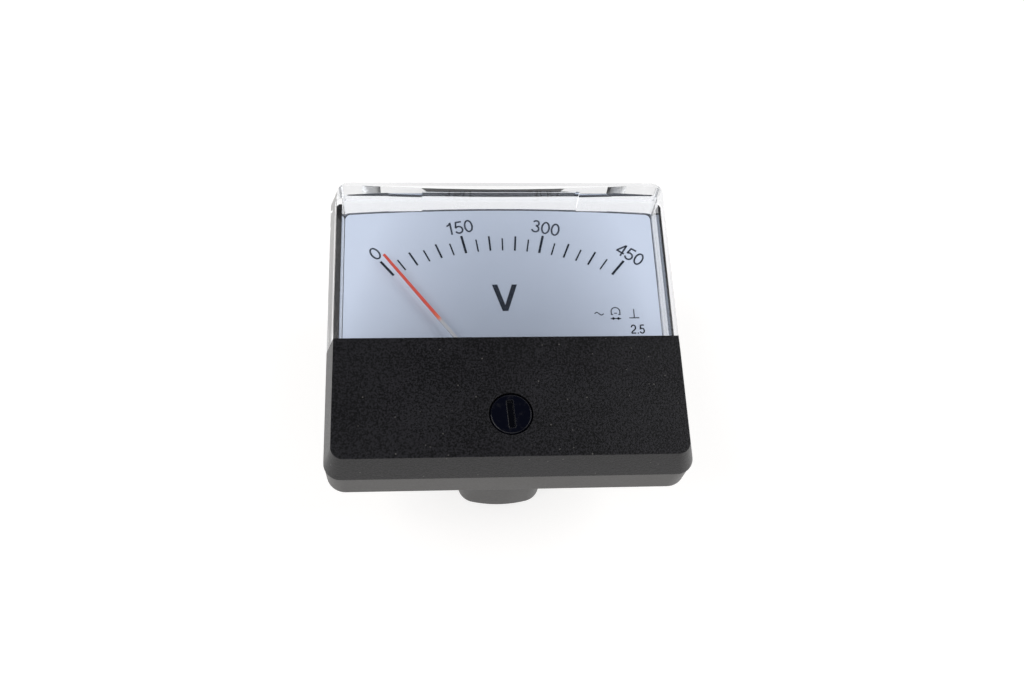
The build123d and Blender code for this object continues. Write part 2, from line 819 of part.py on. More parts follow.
# Needle stops: two posts pressed into the poles, one just past each end of the scale
with BuildPart() as needle_stops:
    for side in (-1, 1):
        with BuildSketch(pivot_level(pole_front_z - small_screw_bite / 2)):
            with Locations(stop_place(side)):
                Circle(stop_radius)
        extrude(amount=stop_height + small_screw_bite / 2)
save(needle_stops, "needle_stops")

# Front bridge: a strap over the coil that carries the front bearing
with BuildPart() as front_bridge:
    with BuildSketch(Plane.XZ.offset(-pivot_y - bridge_width / 2)):
        foot_end = bridge_leg_reach + bridge_sheet + bridge_foot_length
        leg_outer = bridge_leg_reach + bridge_sheet
        with BuildLine():
            Polyline(
                (pivot_x - foot_end, pole_front_z),
                (pivot_x - bridge_leg_reach, pole_front_z),
                (pivot_x - bridge_leg_reach, bridge_z),
                (pivot_x + bridge_leg_reach, bridge_z),
                (pivot_x + bridge_leg_reach, pole_front_z),
                (pivot_x + foot_end, pole_front_z),
                (pivot_x + foot_end, pole_front_z + bridge_sheet),
                (pivot_x + leg_outer, pole_front_z + bridge_sheet),
                (pivot_x + leg_outer, bridge_top_z),
                (pivot_x - leg_outer, bridge_top_z),
                (pivot_x - leg_outer, pole_front_z + bridge_sheet),
                (pivot_x - foot_end, pole_front_z + bridge_sheet),
                close=True,
            )
        make_face()
    extrude(amount=bridge_width)
    with Locations((pivot_x, pivot_y, bridge_top_z)):
        Hole(jewel_screw_radius, depth=bridge_sheet)
    with Locations(*[(x, y, pole_front_z + bridge_sheet) for x, y in front_screw_places]):
        Hole(small_shank_radius, depth=bridge_sheet)
save(front_bridge, "front_bridge")

save(
    slotted_screws(
        pole_front_z + bridge_sheet,
        1,
        front_screw_places,
        small_shank_radius,
        small_head_radius,
        small_head_height,
        small_screw_bite,
    ),
    "front_bridge_screws",
)

# Rear bridge: a foot on the poles, a leg into the block and a strap under the coil
strap_top_z = rear_strap_z + bridge_sheet
with BuildPart() as rear_bridge:
    with BuildSketch(Plane.XY.offset(pole_rear_z)):
        with Locations((pivot_x, rear_foot_y)):
            Rectangle(2 * rear_foot_reach, rear_foot_length, align=(Align.CENTER, Align.MIN))
    extrude(amount=-bridge_sheet)
    with BuildSketch(Plane.XY.offset(pole_rear_z)):
        with Locations((pivot_x, rear_foot_y)):
            Rectangle(rear_strap_width, bridge_sheet, align=(Align.CENTER, Align.MIN))
    extrude(amount=rear_strap_z - pole_rear_z)
    with BuildSketch(Plane.XY.offset(rear_strap_z)):
        with Locations((pivot_x, rear_foot_y + bridge_sheet)):
            strap_length = rear_foot_y + bridge_sheet - pivot_y + rear_strap_width / 2
            Rectangle(rear_strap_width, strap_length, align=(Align.CENTER, Align.MAX))
    extrude(amount=bridge_sheet)
    with BuildSketch(pivot_level(rear_strap_z)):
        with Locations((0, spring_outer_radius + spring_strip / 2 + anchor_gap)):
            Rectangle(anchor_width, anchor_thickness, align=(Align.CENTER, Align.MIN))
    extrude(amount=rear_collet_z + collet_height - rear_strap_z)
    with Locations((pivot_x, pivot_y, strap_top_z)):
        Hole(jewel_screw_radius, depth=bridge_sheet)
    with Locations(*[(x, y, pole_rear_z) for x, y in rear_screw_places]):
        Hole(small_shank_radius, depth=bridge_sheet)
save(rear_bridge, "rear_bridge")

save(
    slotted_screws(
        pole_rear_z - bridge_sheet,
        -1,
        rear_screw_places,
        small_shank_radius,
        small_head_radius,
        small_head_height,
        small_screw_bite,
    ),
    "rear_bridge_screws",
)

save(jewel_screw(front_jewel_z, front_jewel_top_z), "front_jewel_screw")
save(jewel_screw(rear_jewel_z, rear_jewel_end_z), "rear_jewel_screw")
pivot_place = [(pivot_x, pivot_y)]
save(hex_nut(front_nut_z, jewel_nut_size, jewel_nut_height, jewel_screw_radius, pivot_place), "front_jewel_nut")
save(
    hex_nut(rear_strap_z, jewel_nut_size, -jewel_nut_height, jewel_screw_radius, pivot_place),
    "rear_jewel_nut",
)

# Zero arm: it turns on the front bearing screw, holds the spring and has a forked tail
fork_end = pivot_y - (screw_y - eccentric_throw) + eccentric_radius + zero_arm_tail
anchor_start = spring_outer_radius + spring_strip / 2 + anchor_gap
with BuildPart() as zero_arm:
    with BuildSketch(pivot_level(arm_z)):
        Circle(zero_arm_hub_radius)
        Rectangle(zero_arm_width, fork_end, align=(Align.CENTER, Align.MAX))
        Rectangle(anchor_width, anchor_start + anchor_thickness, align=(Align.CENTER, Align.MIN))
        Circle(jewel_screw_radius + bearing_clearance, mode=Mode.SUBTRACT)
        with Locations((-pivot_x, -fork_end)):
            fork_depth = 2 * (eccentric_radius + eccentric_slack) + zero_arm_tail
            Rectangle(
                2 * (eccentric_radius + eccentric_slack),
                fork_depth,
                align=(Align.CENTER, Align.MIN),
                mode=Mode.SUBTRACT,
            )
    extrude(amount=zero_arm_thickness)
    with BuildSketch(pivot_level(arm_top_z)):
        with Locations((0, anchor_start)):
            Rectangle(anchor_width, anchor_thickness, align=(Align.CENTER, Align.MIN))
    extrude(amount=front_collet_z - arm_top_z)
save(zero_arm, "zero_arm")

save(
    slotted_screws(
        pole_front_z,
        1,
        frame_screw_places,
        frame_shank_radius,
        frame_head_radius,
        frame_head_height,
        frame_screw_length,
    ),
    "movement_screws",
)

# Rectifier board on two posts, with its diodes and the series resistor
board_top_z = board_z + board_thickness
with BuildPart() as rectifier_board:
    with BuildSketch(Plane.XY.offset(board_z)):
        with Locations((0, board_y)):
            Rectangle(board_length, board_width)
        with Locations(*board_post_places):
            Circle(small_shank_radius, mode=Mode.SUBTRACT)
    extrude(amount=board_thickness)
save(rectifier_board, "rectifier_board")

save(
    slotted_screws(
        board_top_z,
        1,
        board_post_places,
        small_shank_radius,
        small_head_radius,
        small_head_height,
        small_screw_bite,
    ),
    "board_screws",
)


def axial_part(body_radius, body_length, centres, lift):
    """Round components with a wire at each end that bends down to the board."""
    leg_x = body_length / 2 + wire_stub
    axis_z = board_top_z + body_radius + lift
    with BuildPart() as components:
        for x, y in centres:
            with BuildSketch(Plane.YZ.offset(x - body_length / 2)):
                with Locations((y, axis_z)):
                    Circle(body_radius)
            extrude(amount=body_length)
            with BuildSketch(Plane.YZ.offset(x - leg_x)):
                with Locations((y, axis_z)):
                    Circle(wire_radius)
            extrude(amount=2 * leg_x)
        with BuildSketch(Plane.XY.offset(board_top_z)):
            with Locations(*[(x + end * leg_x, y) for x, y in centres for end in (-1, 1)]):
                Circle(wire_radius)
        extrude(amount=body_radius + lift + wire_radius)
    return components


diode_places = [
    (column * diode_pitch_x / 2, board_y + row * diode_pitch_y / 2)
    for column in (-1, 1)
    for row in (-1, 1)
]
save(axial_part(diode_radius, diode_length / 2, diode_places, running_gap), "rectifier_diodes")
save(axial_part(resistor_radius, resistor_length, [(0, board_y)], resistor_rise), "series_resistor")

# Terminals: a headed stud through each boss, with a solder tag inside and a nut outside
tag_top_z = barrel_floor_z + tag_thickness
terminal_nut_z = boss_rear_z - terminal_washer_thickness
terminal_nut_end_z = terminal_nut_z - terminal_nut_height
with BuildPart() as solder_tags:
    with BuildSketch(Plane.XY.offset(barrel_floor_z)):
        with Locations(*terminal_places):
            Circle(tag_ring_radius)
            Rectangle(tag_tongue_width, tag_tongue_reach, align=(Align.CENTER, Align.MIN))
            Circle(terminal_radius, mode=Mode.SUBTRACT)
        with Locations(*[(x, y + tag_tongue_reach - tag_hole_inset) for x, y in terminal_places]):
            Circle(tag_hole_radius, mode=Mode.SUBTRACT)
    extrude(amount=tag_thickness)
save(solder_tags, "solder_tags")

with BuildPart() as terminal_studs:
    with BuildSketch(Plane.XY.offset(tag_top_z)):
        with Locations(*terminal_places):
            RegularPolygon(terminal_head_size / 2, 6, major_radius=False)
    extrude(amount=terminal_head_height)
    with BuildSketch(Plane.XY.offset(tag_top_z)):
        with Locations(*terminal_places):
            Circle(terminal_radius)
    extrude(amount=boss_rear_z - terminal_length - tag_top_z)
    with BuildSketch(Plane.XY.offset(terminal_nut_end_z)):
        with Locations(*terminal_places):
            Circle(terminal_radius)
            Circle(terminal_radius - terminal_groove_depth, mode=Mode.SUBTRACT)
    extrude(amount=-terminal_groove_length, mode=Mode.SUBTRACT)
save(terminal_studs, "terminal_studs")

with BuildPart() as terminal_washers:
    with BuildSketch(Plane.XY.offset(boss_rear_z)):
        with Locations(*terminal_places):
            Circle(terminal_washer_radius)
            Circle(terminal_radius, mode=Mode.SUBTRACT)
    extrude(amount=-terminal_washer_thickness)
save(terminal_washers, "terminal_washers")

save(
    hex_nut(terminal_nut_z, terminal_nut_size, -terminal_nut_height, terminal_radius, terminal_places),
    "terminal_nuts",
)

# Mounting studs: each has a root collar and a shank moulded into the tray's corner boss
with BuildPart() as mounting_studs:
    with BuildSketch(Plane.XY.offset(stud_root_z)):
        with Locations(*stud_places):
            Circle(stud_root_radius)
    extrude(amount=stud_root_height)
    with BuildSketch(Plane.XY):
        with Locations(*stud_places):
            Circle(stud_shank_radius)
    extrude(amount=stud_root_z)
    with BuildSketch(Plane.XY):
        with Locations(*stud_places):
            Circle(stud_radius)
    extrude(amount=-stud_length)
save(mounting_studs, "mounting_studs")

# Inner leads: terminals to the board, and the board to the front and rear bridge
lead_y = board_y - board_width / 2 + lead_inset
board_corner_x = board_length / 2 - lead_inset
tag_wire_y = tag_tongue_reach - tag_hole_inset
terminal_lead_z = board_top_z + lead_lift
front_lead_x = pivot_x + pole_reach + front_lead_gap
front_lead_z = pole_front_z + bridge_sheet / 2
front_lead_end = pivot_x + bridge_leg_reach + bridge_sheet + bridge_foot_length
front_lead_y = pivot_y + bridge_width / 4
rear_lead_x = pivot_x - pole_reach - rear_lead_gap
rear_lead_z = pole_rear_z - bridge_sheet / 2
rear_lead_y = rear_foot_y + rear_foot_length * 2 / 3
lead_routes = [
    [
        (side * terminal_x, tag_wire_y, tag_top_z),
        (side * terminal_x, tag_wire_y, tag_top_z + terminal_lead_rise),
        (side * (terminal_x - terminal_lead_swing), lead_y - lead_lift, terminal_lead_z),
        (side * board_corner_x, lead_y, terminal_lead_z),
        (side * board_corner_x, lead_y, board_top_z),
    ]
    for side in (-1, 1)
]
lead_routes.append(
    [
        (coil_lead_x, lead_y, board_top_z),
        (coil_lead_x, lead_y, front_lead_z),
        (front_lead_x, pole_top_y + lead_lift, front_lead_z),
        (front_lead_x, front_lead_y, front_lead_z),
        (front_lead_end, front_lead_y, front_lead_z),
    ]
)
lead_routes.append(
    [
        (-coil_lead_x, lead_y, board_z),
        (-coil_lead_x, lead_y, rear_lead_z),
        (rear_lead_x, pole_top_y + lead_lift, rear_lead_z),
        (rear_lead_x, rear_lead_y, rear_lead_z),
        (pivot_x - rear_foot_reach, rear_lead_y, rear_lead_z),
    ]
)
with BuildPart() as inner_leads:
    for route in lead_routes:
        with BuildLine() as path:
            FilletPolyline(*route, radius=lead_bend)
        with BuildSketch(Plane(path.line @ 0, z_dir=path.line % 0)):
            Circle(lead_radius)
        sweep(path=path.line)
save(inner_leads, "inner_leads")
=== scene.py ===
"""Looks of an analog panel meter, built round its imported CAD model."""

import logging
import math
from dataclasses import dataclass
from enum import Enum
from functools import cache
from typing import Any, Sequence

import bmesh
import bpy
from mathutils import Matrix, Vector


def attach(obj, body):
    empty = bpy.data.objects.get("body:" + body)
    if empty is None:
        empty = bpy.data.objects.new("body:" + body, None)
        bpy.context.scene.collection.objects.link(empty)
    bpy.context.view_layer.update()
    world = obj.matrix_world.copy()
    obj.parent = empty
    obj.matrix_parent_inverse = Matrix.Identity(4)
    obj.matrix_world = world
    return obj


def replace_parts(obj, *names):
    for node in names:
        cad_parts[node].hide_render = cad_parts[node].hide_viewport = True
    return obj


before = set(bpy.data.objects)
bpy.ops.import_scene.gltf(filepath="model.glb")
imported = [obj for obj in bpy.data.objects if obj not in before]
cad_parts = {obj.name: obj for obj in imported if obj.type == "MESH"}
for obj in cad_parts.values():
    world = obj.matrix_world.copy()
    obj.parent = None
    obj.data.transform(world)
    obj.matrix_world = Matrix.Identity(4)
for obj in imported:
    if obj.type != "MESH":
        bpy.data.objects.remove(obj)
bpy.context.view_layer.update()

LOG = logging.getLogger("meter")
MM = 0.001
TURN = 2 * math.pi
WHITE = (1.0, 1.0, 1.0)
Point = tuple[float, float]
Colour = tuple[float, float, float]
Triple = tuple[float, float, float]
Socket = bpy.types.NodeSocket
Profile = list[tuple[Any, Any]]
Splines = list[tuple[Sequence[Point], bool]]


class Number:
    """A number socket of a node tree, so that node maths is written as a Python expression."""

    def __init__(self, graph: "Graph", socket: Socket) -> None:
        """Keeps the socket and the graph that it belongs to."""
        self.graph = graph
        self.socket = socket

    def _math(self, operation: str, *values: Any) -> "Number":
        """Adds one Math node, with numbers or Number objects as its inputs in order."""
        node = self.graph.add("ShaderNodeMath", {"operation": operation}, dict(enumerate(values)))
        return Number(self.graph, node.outputs[0])

    def __add__(self, other: Any) -> "Number":
        """Sum."""
        return self._math("ADD", self, other)

    def __radd__(self, other: Any) -> "Number":
        """Sum with a plain number in front."""
        return self._math("ADD", other, self)

    def __sub__(self, other: Any) -> "Number":
        """Difference."""
        return self._math("SUBTRACT", self, other)

    def __rsub__(self, other: Any) -> "Number":
        """Difference with a plain number in front."""
        return self._math("SUBTRACT", other, self)

    def __mul__(self, other: Any) -> "Number":
        """Product."""
        return self._math("MULTIPLY", self, other)

    def __rmul__(self, other: Any) -> "Number":
        """Product with a plain number in front."""
        return self._math("MULTIPLY", other, self)

    def __truediv__(self, other: Any) -> "Number":
        """Quotient."""
        return self._math("DIVIDE", self, other)

    def __rtruediv__(self, other: Any) -> "Number":
        """Quotient with a plain number in front."""
        return self._math("DIVIDE", other, self)

    def __pow__(self, other: Any) -> "Number":
        """Power."""
        return self._math("POWER", self, other)

    def __rpow__(self, other: Any) -> "Number":
        """Power of a plain number."""
        return self._math("POWER", other, self)

    def above(self, edge: Any) -> "Number":
        """One where the value is over the edge, and zero elsewhere."""
        return self._math("GREATER_THAN", self, edge)

    def least(self, other: Any) -> "Number":
        """The smaller of two values."""
        return self._math("MINIMUM", self, other)

    def most(self, other: Any) -> "Number":
        """The larger of two values."""
        return self._math("MAXIMUM", self, other)

    def held(self) -> "Number":
        """The value held between zero and one."""
        return self.most(0.0).least(1.0)

    def swing(self, amount: float) -> "Number":
        """What a value round one half adds on either side of zero, times an amount."""
        return amount * (self - 0.5)

    def size(self) -> "Number":
        """The value without its sign."""
        return self._math("ABSOLUTE", self)

    def part(self) -> "Number":
        """The value's fraction."""
        return self._math("FRACT", self)

    def sine(self) -> "Number":
        """Sine of the value in radians."""
        return self._math("SINE", self)

    def cosine(self) -> "Number":
        """Cosine of the value in radians."""
        return self._math("COSINE", self)


class Graph:
    """A node tree under construction."""

    def __init__(self, tree: bpy.types.NodeTree) -> None:
        """Keeps the tree that nodes are added to."""
        self.tree = tree

    def add(
        self,
        kind: str,
        settings: dict[str, Any] | None = None,
        inputs: dict[int | str, Any] | None = None,
    ) -> bpy.types.Node:
        """Adds one node.

        Args:
            kind: The node's type.
            settings: Its settings by name, which are set first.
            inputs: Values or links by input name or index.

        Returns:
            The new node.
        """
        node = self.tree.nodes.new(kind)
        for name, value in (settings or {}).items():
            setattr(node, name, value)
        for key, value in (inputs or {}).items():
            self.plug(node.inputs[key], value)
        return node

    def plug(self, socket: Socket, value: Any) -> None:
        """Gives an input its link or its value.

        Args:
            socket: The input.
            value: A Number, an output, a node whose first output is meant, or a plain value.
        """
        if isinstance(value, bpy.types.Node):
            value = value.outputs[0]
        if isinstance(value, Number):
            value = value.socket
        if isinstance(value, Socket):
            self.tree.links.new(value, socket)
        elif socket.type == "RGBA" and len(value) == 3:
            socket.default_value = (*value, 1.0)
        else:
            socket.default_value = value

    def number(self, node: bpy.types.Node, output: int | str = 0) -> Number:
        """One output of a node as a Number."""
        return Number(self, node.outputs[output])

    def ranged(self, value: Any, low: float, high: float) -> Number:
        """Maps low..high to 0..1 along a smooth step, and holds the ends outside it."""
        smooth = {"interpolation_type": "SMOOTHSTEP"}
        return self.number(self.add("ShaderNodeMapRange", smooth, {0: value, 1: low, 2: high}))


class ShaderGraph(Graph):
    """A material's or a world's node tree under construction."""

    def place(self) -> Socket:
        """Object coordinates."""
        return self.add("ShaderNodeTexCoord").outputs["Object"]

    def axes(self) -> tuple[Number, Number]:
        """The object coordinates x and y as numbers, in metres."""
        node = self.add("ShaderNodeSeparateXYZ", None, {0: self.place()})
        return self.number(node, 0), self.number(node, 1)

    def offsets(self, centre: Point) -> tuple[Number, Number]:
        """How far x and y are from a point that is given in mm, in metres."""
        x, y = self.axes()
        return x - centre[0] * MM, y - centre[1] * MM

    def stretched(self, scale: Triple) -> Socket:
        """Object coordinates with one scale for each axis."""
        return self.add("ShaderNodeMapping", None, {"Vector": self.place(), "Scale": scale}).outputs[0]

    def noise(self, grain_mm: float, detail: float = 2.0, rough: float = 0.5, place: Any = None) -> Number:
        """Noise whose features are about grain_mm across.

        Args:
            grain_mm: The size of its features.
            detail: How many finer layers lie over the first.
            rough: How strong the finer layers are.
            place: Coordinates to use instead of the plain object coordinates.

        Returns:
            The noise, round one half.
        """
        where = {"Vector": place or self.place(), "Scale": 1.0 / (grain_mm * MM)}
        node = self.add("ShaderNodeTexNoise", None, {**where, "Detail": detail, "Roughness": rough})
        return self.number(node, "Fac")

    def cells(self, grain_mm: float) -> Number:
        """Distance to the nearest of points that are about grain_mm apart."""
        where = {"Vector": self.place(), "Scale": 1.0 / (grain_mm * MM)}
        return self.number(self.add("ShaderNodeTexVoronoi", None, where), "Distance")

    def rays(self, *kinds: str) -> Number:
        """One for rays of the named kinds, and zero for the others.

        Args:
            kinds: Outputs of the Light Path node.

        Returns:
            The mask.
        """
        path = self.add("ShaderNodeLightPath")
        mask = self.number(path, kinds[0])
        for kind in kinds[1:]:
            mask = mask.most(self.number(path, kind))
        return mask

    def mix(self, share: Any, first: Any, second: Any) -> Socket:
        """Mixes two colours by a share from 0 to 1."""
        node = self.add("ShaderNodeMix", {"data_type": "RGBA"}, {0: share, 6: first, 7: second})
        return node.outputs[2]

    def bump(self, height: Number, depth_mm: float, strength: float, under: Any = None) -> Socket:
        """Turns a height from 0 to 1 into a normal.

        Args:
            height: The height.
            depth_mm: How deep the relief is.
            strength: How much of it shows, from 0 to 1.
            under: A normal that the relief lies on.

        Returns:
            The normal.
        """
        inputs = {"Height": height, "Distance": depth_mm * MM, "Strength": strength}
        if under is not None:
            inputs["Normal"] = under
        return self.add("ShaderNodeBump", None, inputs).outputs[0]

    def softened_edges(self, radius_mm: float) -> Socket:
        """Normals rounded over the edges, as moulded and stamped edges are."""
        return self.add("ShaderNodeBevel", {"samples": 4}, {"Radius": radius_mm * MM}).outputs[0]

    def principled(self, **inputs: Any) -> Socket:
        """A Principled shader. Underscores in the names of inputs stand for spaces."""
        named = {name.replace("_", " "): value for name, value in inputs.items()}
        return self.add("ShaderNodeBsdfPrincipled", None, named).outputs[0]

    def blend(self, share: Any, first: Any, second: Any) -> Socket:
        """Mixes two shaders by a share from 0 to 1."""
        return self.add("ShaderNodeMixShader", None, {0: share, 1: first, 2: second}).outputs[0]


@dataclass(frozen=True)
class Finish:
    """How one kind of surface looks."""

    name: str

    @cache
    def material(self) -> bpy.types.Material:
        """The finish as a material, which is made once.

        Returns:
            The material.
        """
        made = bpy.data.materials.new(self.name)
        made.use_nodes = True
        made.node_tree.nodes.clear()
        graph = ShaderGraph(made.node_tree)
        graph.add("ShaderNodeOutputMaterial", None, {"Surface": self.surface(graph)})
        return made

    def surface(self, graph: ShaderGraph) -> Socket:
        """Builds the surface shader."""
        raise NotImplementedError

    def dress(self, *names: str) -> None:
        """Gives the finish to whole CAD nodes.

        Args:
            names: The nodes' names.
        """
        for name in names:
            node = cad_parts[name]
            node.data.materials.clear()
            node.data.materials.append(self.material())
            LOG.info("%s: %s", name, self.name)


@dataclass(frozen=True)
class ClearPlastic(Finish):
    """Polished clear plastic, with fine wear in its gloss."""

    tint: Colour = (0.972, 0.982, 1.0)
    haze: Colour = (0.99, 0.99, 0.98)
    haze_share: float = 0.25
    lamp_tint: Colour = (0.93, 0.94, 0.96)
    index: float = 1.53
    roughness: float = 0.012
    wear: float = 0.03

    def surface(self, graph: ShaderGraph) -> Socket:
        """Refracts what is seen through it, and lets the lamps through to what is behind.

        Args:
            graph: The material's node tree.

        Returns:
            The surface shader.
        """
        haze = graph.noise(grain_mm=6.0, detail=3.0)
        scratches = graph.noise(grain_mm=0.5, rough=0.6, place=graph.stretched((1.0, 0.08, 1.0)))
        clear = graph.principled(
            Base_Color=graph.mix(haze * self.haze_share, self.tint, self.haze),
            Roughness=self.roughness + self.wear * (haze * scratches),
            Normal=graph.bump(graph.noise(grain_mm=3.0), depth_mm=0.004, strength=0.3),
            IOR=self.index,
            Transmission_Weight=1.0,
        )
        open_way = graph.add("ShaderNodeBsdfTransparent", None, {0: self.lamp_tint})
        return graph.blend(graph.rays("Is Shadow Ray", "Is Diffuse Ray"), clear, open_way)


@dataclass(frozen=True)
class MouldedPlastic(Finish):
    """Opaque moulded plastic with a grain, softened edges and, if they have a colour, painted glints: pale
    dots in the base colour that stand in for sparkles of light.
    """

    dark: Colour
    light: Colour
    roughness: float
    grain_mm: float
    grain_depth_mm: float
    spread: float
    edge_mm: float
    index: float = 1.38
    broad_mm: float = 9.0
    painted_glint: Colour | None = None
    painted_glint_mm: float = 1.1
    painted_glint_rim: Point = (0.13, 0.06)
    painted_glint_cut: float = 0.56
    painted_glint_share: float = 0.8

    def surface(self, graph: ShaderGraph) -> Socket:
        """Grain in colour, gloss and relief, over softly lit edges.

        Args:
            graph: The material's node tree.

        Returns:
            The surface shader.
        """
        grain = graph.noise(self.grain_mm, rough=0.6)
        broad = graph.noise(self.broad_mm)
        shade = graph.ranged(0.85 * grain + 0.15 * broad, 0.5 - self.spread, 0.5 + self.spread)
        colour = graph.mix(shade, self.dark, self.light)
        # Painted glints: pale dots mixed into the base colour, standing in for light sparkling off the
        # texture.
        if self.painted_glint is not None:
            dot = graph.ranged(graph.cells(self.painted_glint_mm), *self.painted_glint_rim)
            chosen = graph.noise(self.painted_glint_mm * 1.4, detail=1.0).above(self.painted_glint_cut)
            colour = graph.mix(dot * chosen * self.painted_glint_share, colour, self.painted_glint)
        return graph.principled(
            Base_Color=colour,
            Roughness=self.roughness + grain.swing(0.2) + broad.swing(0.06),
            Normal=graph.bump(grain, self.grain_depth_mm, 0.8, graph.softened_edges(self.edge_mm)),
            IOR=self.index,
        )


@dataclass(frozen=True)
class GlossPlastic(Finish):
    """Polished dark plastic with faint turning marks round an axis."""

    dark: Colour
    light: Colour
    centre: Point
    roughness: float = 0.1
    ring_mm: float = 0.22
    edge_mm: float = 0.16
    index: float = 1.42

    def surface(self, graph: ShaderGraph) -> Socket:
        """Rings of tool marks under a gloss, with a few dull scuffs.

        Args:
            graph: The material's node tree.

        Returns:
            The surface shader.
        """
        across, along = graph.offsets(self.centre)
        radius = (across * across + along * along) ** 0.5
        rings = (radius * (TURN / (self.ring_mm * MM))).sine() * 0.5 + 0.5
        scuff = graph.ranged(graph.noise(grain_mm=0.9, detail=4.0, rough=0.7), 0.5, 0.72)
        relief = 0.4 * rings + graph.noise(grain_mm=0.25, detail=3.0)
        return graph.principled(
            Base_Color=graph.mix(scuff, self.dark, self.light),
            Roughness=self.roughness + 0.16 * scuff + 0.03 * rings,
            Normal=graph.bump(relief, 0.003, 0.5, graph.softened_edges(self.edge_mm)),
            IOR=self.index,
        )


@dataclass(frozen=True)
class EnamelWithPaintedShade(Finish):
    """Smooth stoved paint on sheet metal, with painted shade that greys it towards the middle of the sheet,
    and faint flecks.
    """

    base: Colour
    # shade is painted shade: the colour at the middle of the dial, where less light reaches it
    shade: Colour
    fleck: Colour
    middle: Point
    reach: Point
    roughness: float = 0.42
    index: float = 1.5
    fleck_mm: float = 2.6
    fleck_rim: Point = (0.035, 0.02)
    fleck_cut: float = 0.52
    fleck_share: float = 0.35

    def surface(self, graph: ShaderGraph) -> Socket:
        """Colour with painted shade, greyer towards the middle and pale towards the edges, a fine
        orange-peel relief and a few dust flecks.

        Args:
            graph: The material's node tree.

        Returns:
            The surface shader.
        """
        # Painted shade: the colour goes from base at the edges to shade at the middle, in cloudy patches,
        # standing in for light that falls off towards the middle
        across, along = graph.offsets(self.middle)
        across, along = across / (self.reach[0] * MM), along / (self.reach[1] * MM)
        patch = graph.noise(grain_mm=14.0, detail=3.0)
        pale = (across * across + along * along + patch.swing(0.16)).held()
        colour = graph.mix(pale, self.shade, self.base)
        dot = graph.ranged(graph.cells(self.fleck_mm), *self.fleck_rim)
        chosen = graph.noise(grain_mm=4.0).above(self.fleck_cut)
        peel = graph.noise(grain_mm=0.35)
        return graph.principled(
            Base_Color=graph.mix(dot * chosen * self.fleck_share, colour, self.fleck),
            Roughness=self.roughness + peel.swing(0.1),
            Normal=graph.bump(peel, depth_mm=0.004, strength=0.5),
            IOR=self.index,
        )


@dataclass(frozen=True)
class Ink(Finish):
    """Screen-printed ink with uneven cover."""

    full: Colour
    thin: Colour
    roughness: float = 0.5
    index: float = 1.35

    def surface(self, graph: ShaderGraph) -> Socket:
        """Slightly patchy cover and the mesh's fine relief.

        Args:
            graph: The material's node tree.

        Returns:
            The surface shader.
        """
        cover = graph.ranged(graph.noise(grain_mm=0.5, detail=3.0, rough=0.6), 0.35, 0.75)
        weave = graph.noise(grain_mm=0.09)
        return graph.principled(
            Base_Color=graph.mix(cover, self.full, self.thin),
            Roughness=self.roughness + weave.swing(0.15),
            Normal=graph.bump(weave, depth_mm=0.003, strength=0.5),
            IOR=self.index,
        )


@dataclass(frozen=True)
class NeedlePaint(Finish):
    """Paint in two colours along the needle, from the pivot to the tip."""

    tip: Colour
    root: Colour
    seam: Colour
    pivot: Point
    direction_deg: float
    seam_mm: float
    seam_blur_mm: float = 0.4
    seam_wobble_mm: float = 0.5
    fade_mm: float = 2.2
    roughness: float = 0.38

    def surface(self, graph: ShaderGraph) -> Socket:
        """The colour changes at one distance from the pivot, with a soft, uneven edge.

        Args:
            graph: The material's node tree.

        Returns:
            The surface shader.
        """
        across, along = graph.offsets(self.pivot)
        angle = math.radians(self.direction_deg)
        wobble = graph.noise(grain_mm=0.4).swing(self.seam_wobble_mm * MM)
        reach = across * math.cos(angle) + along * math.sin(angle) + wobble
        seam, blur, fade = self.seam_mm * MM, self.seam_blur_mm * MM, self.fade_mm * MM
        patch = graph.noise(grain_mm=0.6, detail=3.0)
        red = graph.mix(graph.ranged(reach, seam, seam + fade), self.seam, self.tip)
        painted = graph.mix(patch * 0.3, red, self.seam)
        return graph.principled(
            Base_Color=graph.mix(graph.ranged(reach, seam - blur, seam + blur), self.root, painted),
            Roughness=self.roughness + patch.swing(0.2),
            Normal=graph.bump(graph.noise(grain_mm=0.15), depth_mm=0.004, strength=0.6),
        )


class Working(Enum):
    """How a metal was worked: its marks' scale along x, y and z, their detail and roughness."""

    TURNED = ((0.15, 0.15, 1.0), 2.0, 0.5)
    ROLLED = ((1.0, 0.08, 1.0), 3.0, 0.6)
    GROUND = ((1.0, 1.0, 1.0), 4.0, 0.7)


@dataclass(frozen=True)
class Metal(Finish):
    """Bare or plated metal with its working marks and a little tarnish."""

    bright: Colour
    tarnish: Colour
    working: Working
    roughness: float
    mark_mm: float = 0.12
    edge_mm: float = 0.08
    tarnish_share: float = 0.7

    def surface(self, graph: ShaderGraph) -> Socket:
        """Marks in the gloss and the relief, with tarnish in patches.

        Args:
            graph: The material's node tree.

        Returns:
            The surface shader.
        """
        scale, detail, rough = self.working.value
        marks = graph.noise(self.mark_mm, detail, rough, graph.stretched(scale))
        patch = graph.ranged(graph.noise(grain_mm=2.5, detail=4.0, rough=0.65), 0.42, 0.72)
        return graph.principled(
            Base_Color=graph.mix(patch * self.tarnish_share, self.bright, self.tarnish),
            Metallic=1.0,
            Roughness=self.roughness + marks.swing(0.2) + 0.15 * patch,
            Normal=graph.bump(marks, 0.012, 0.6, graph.softened_edges(self.edge_mm)),
        )


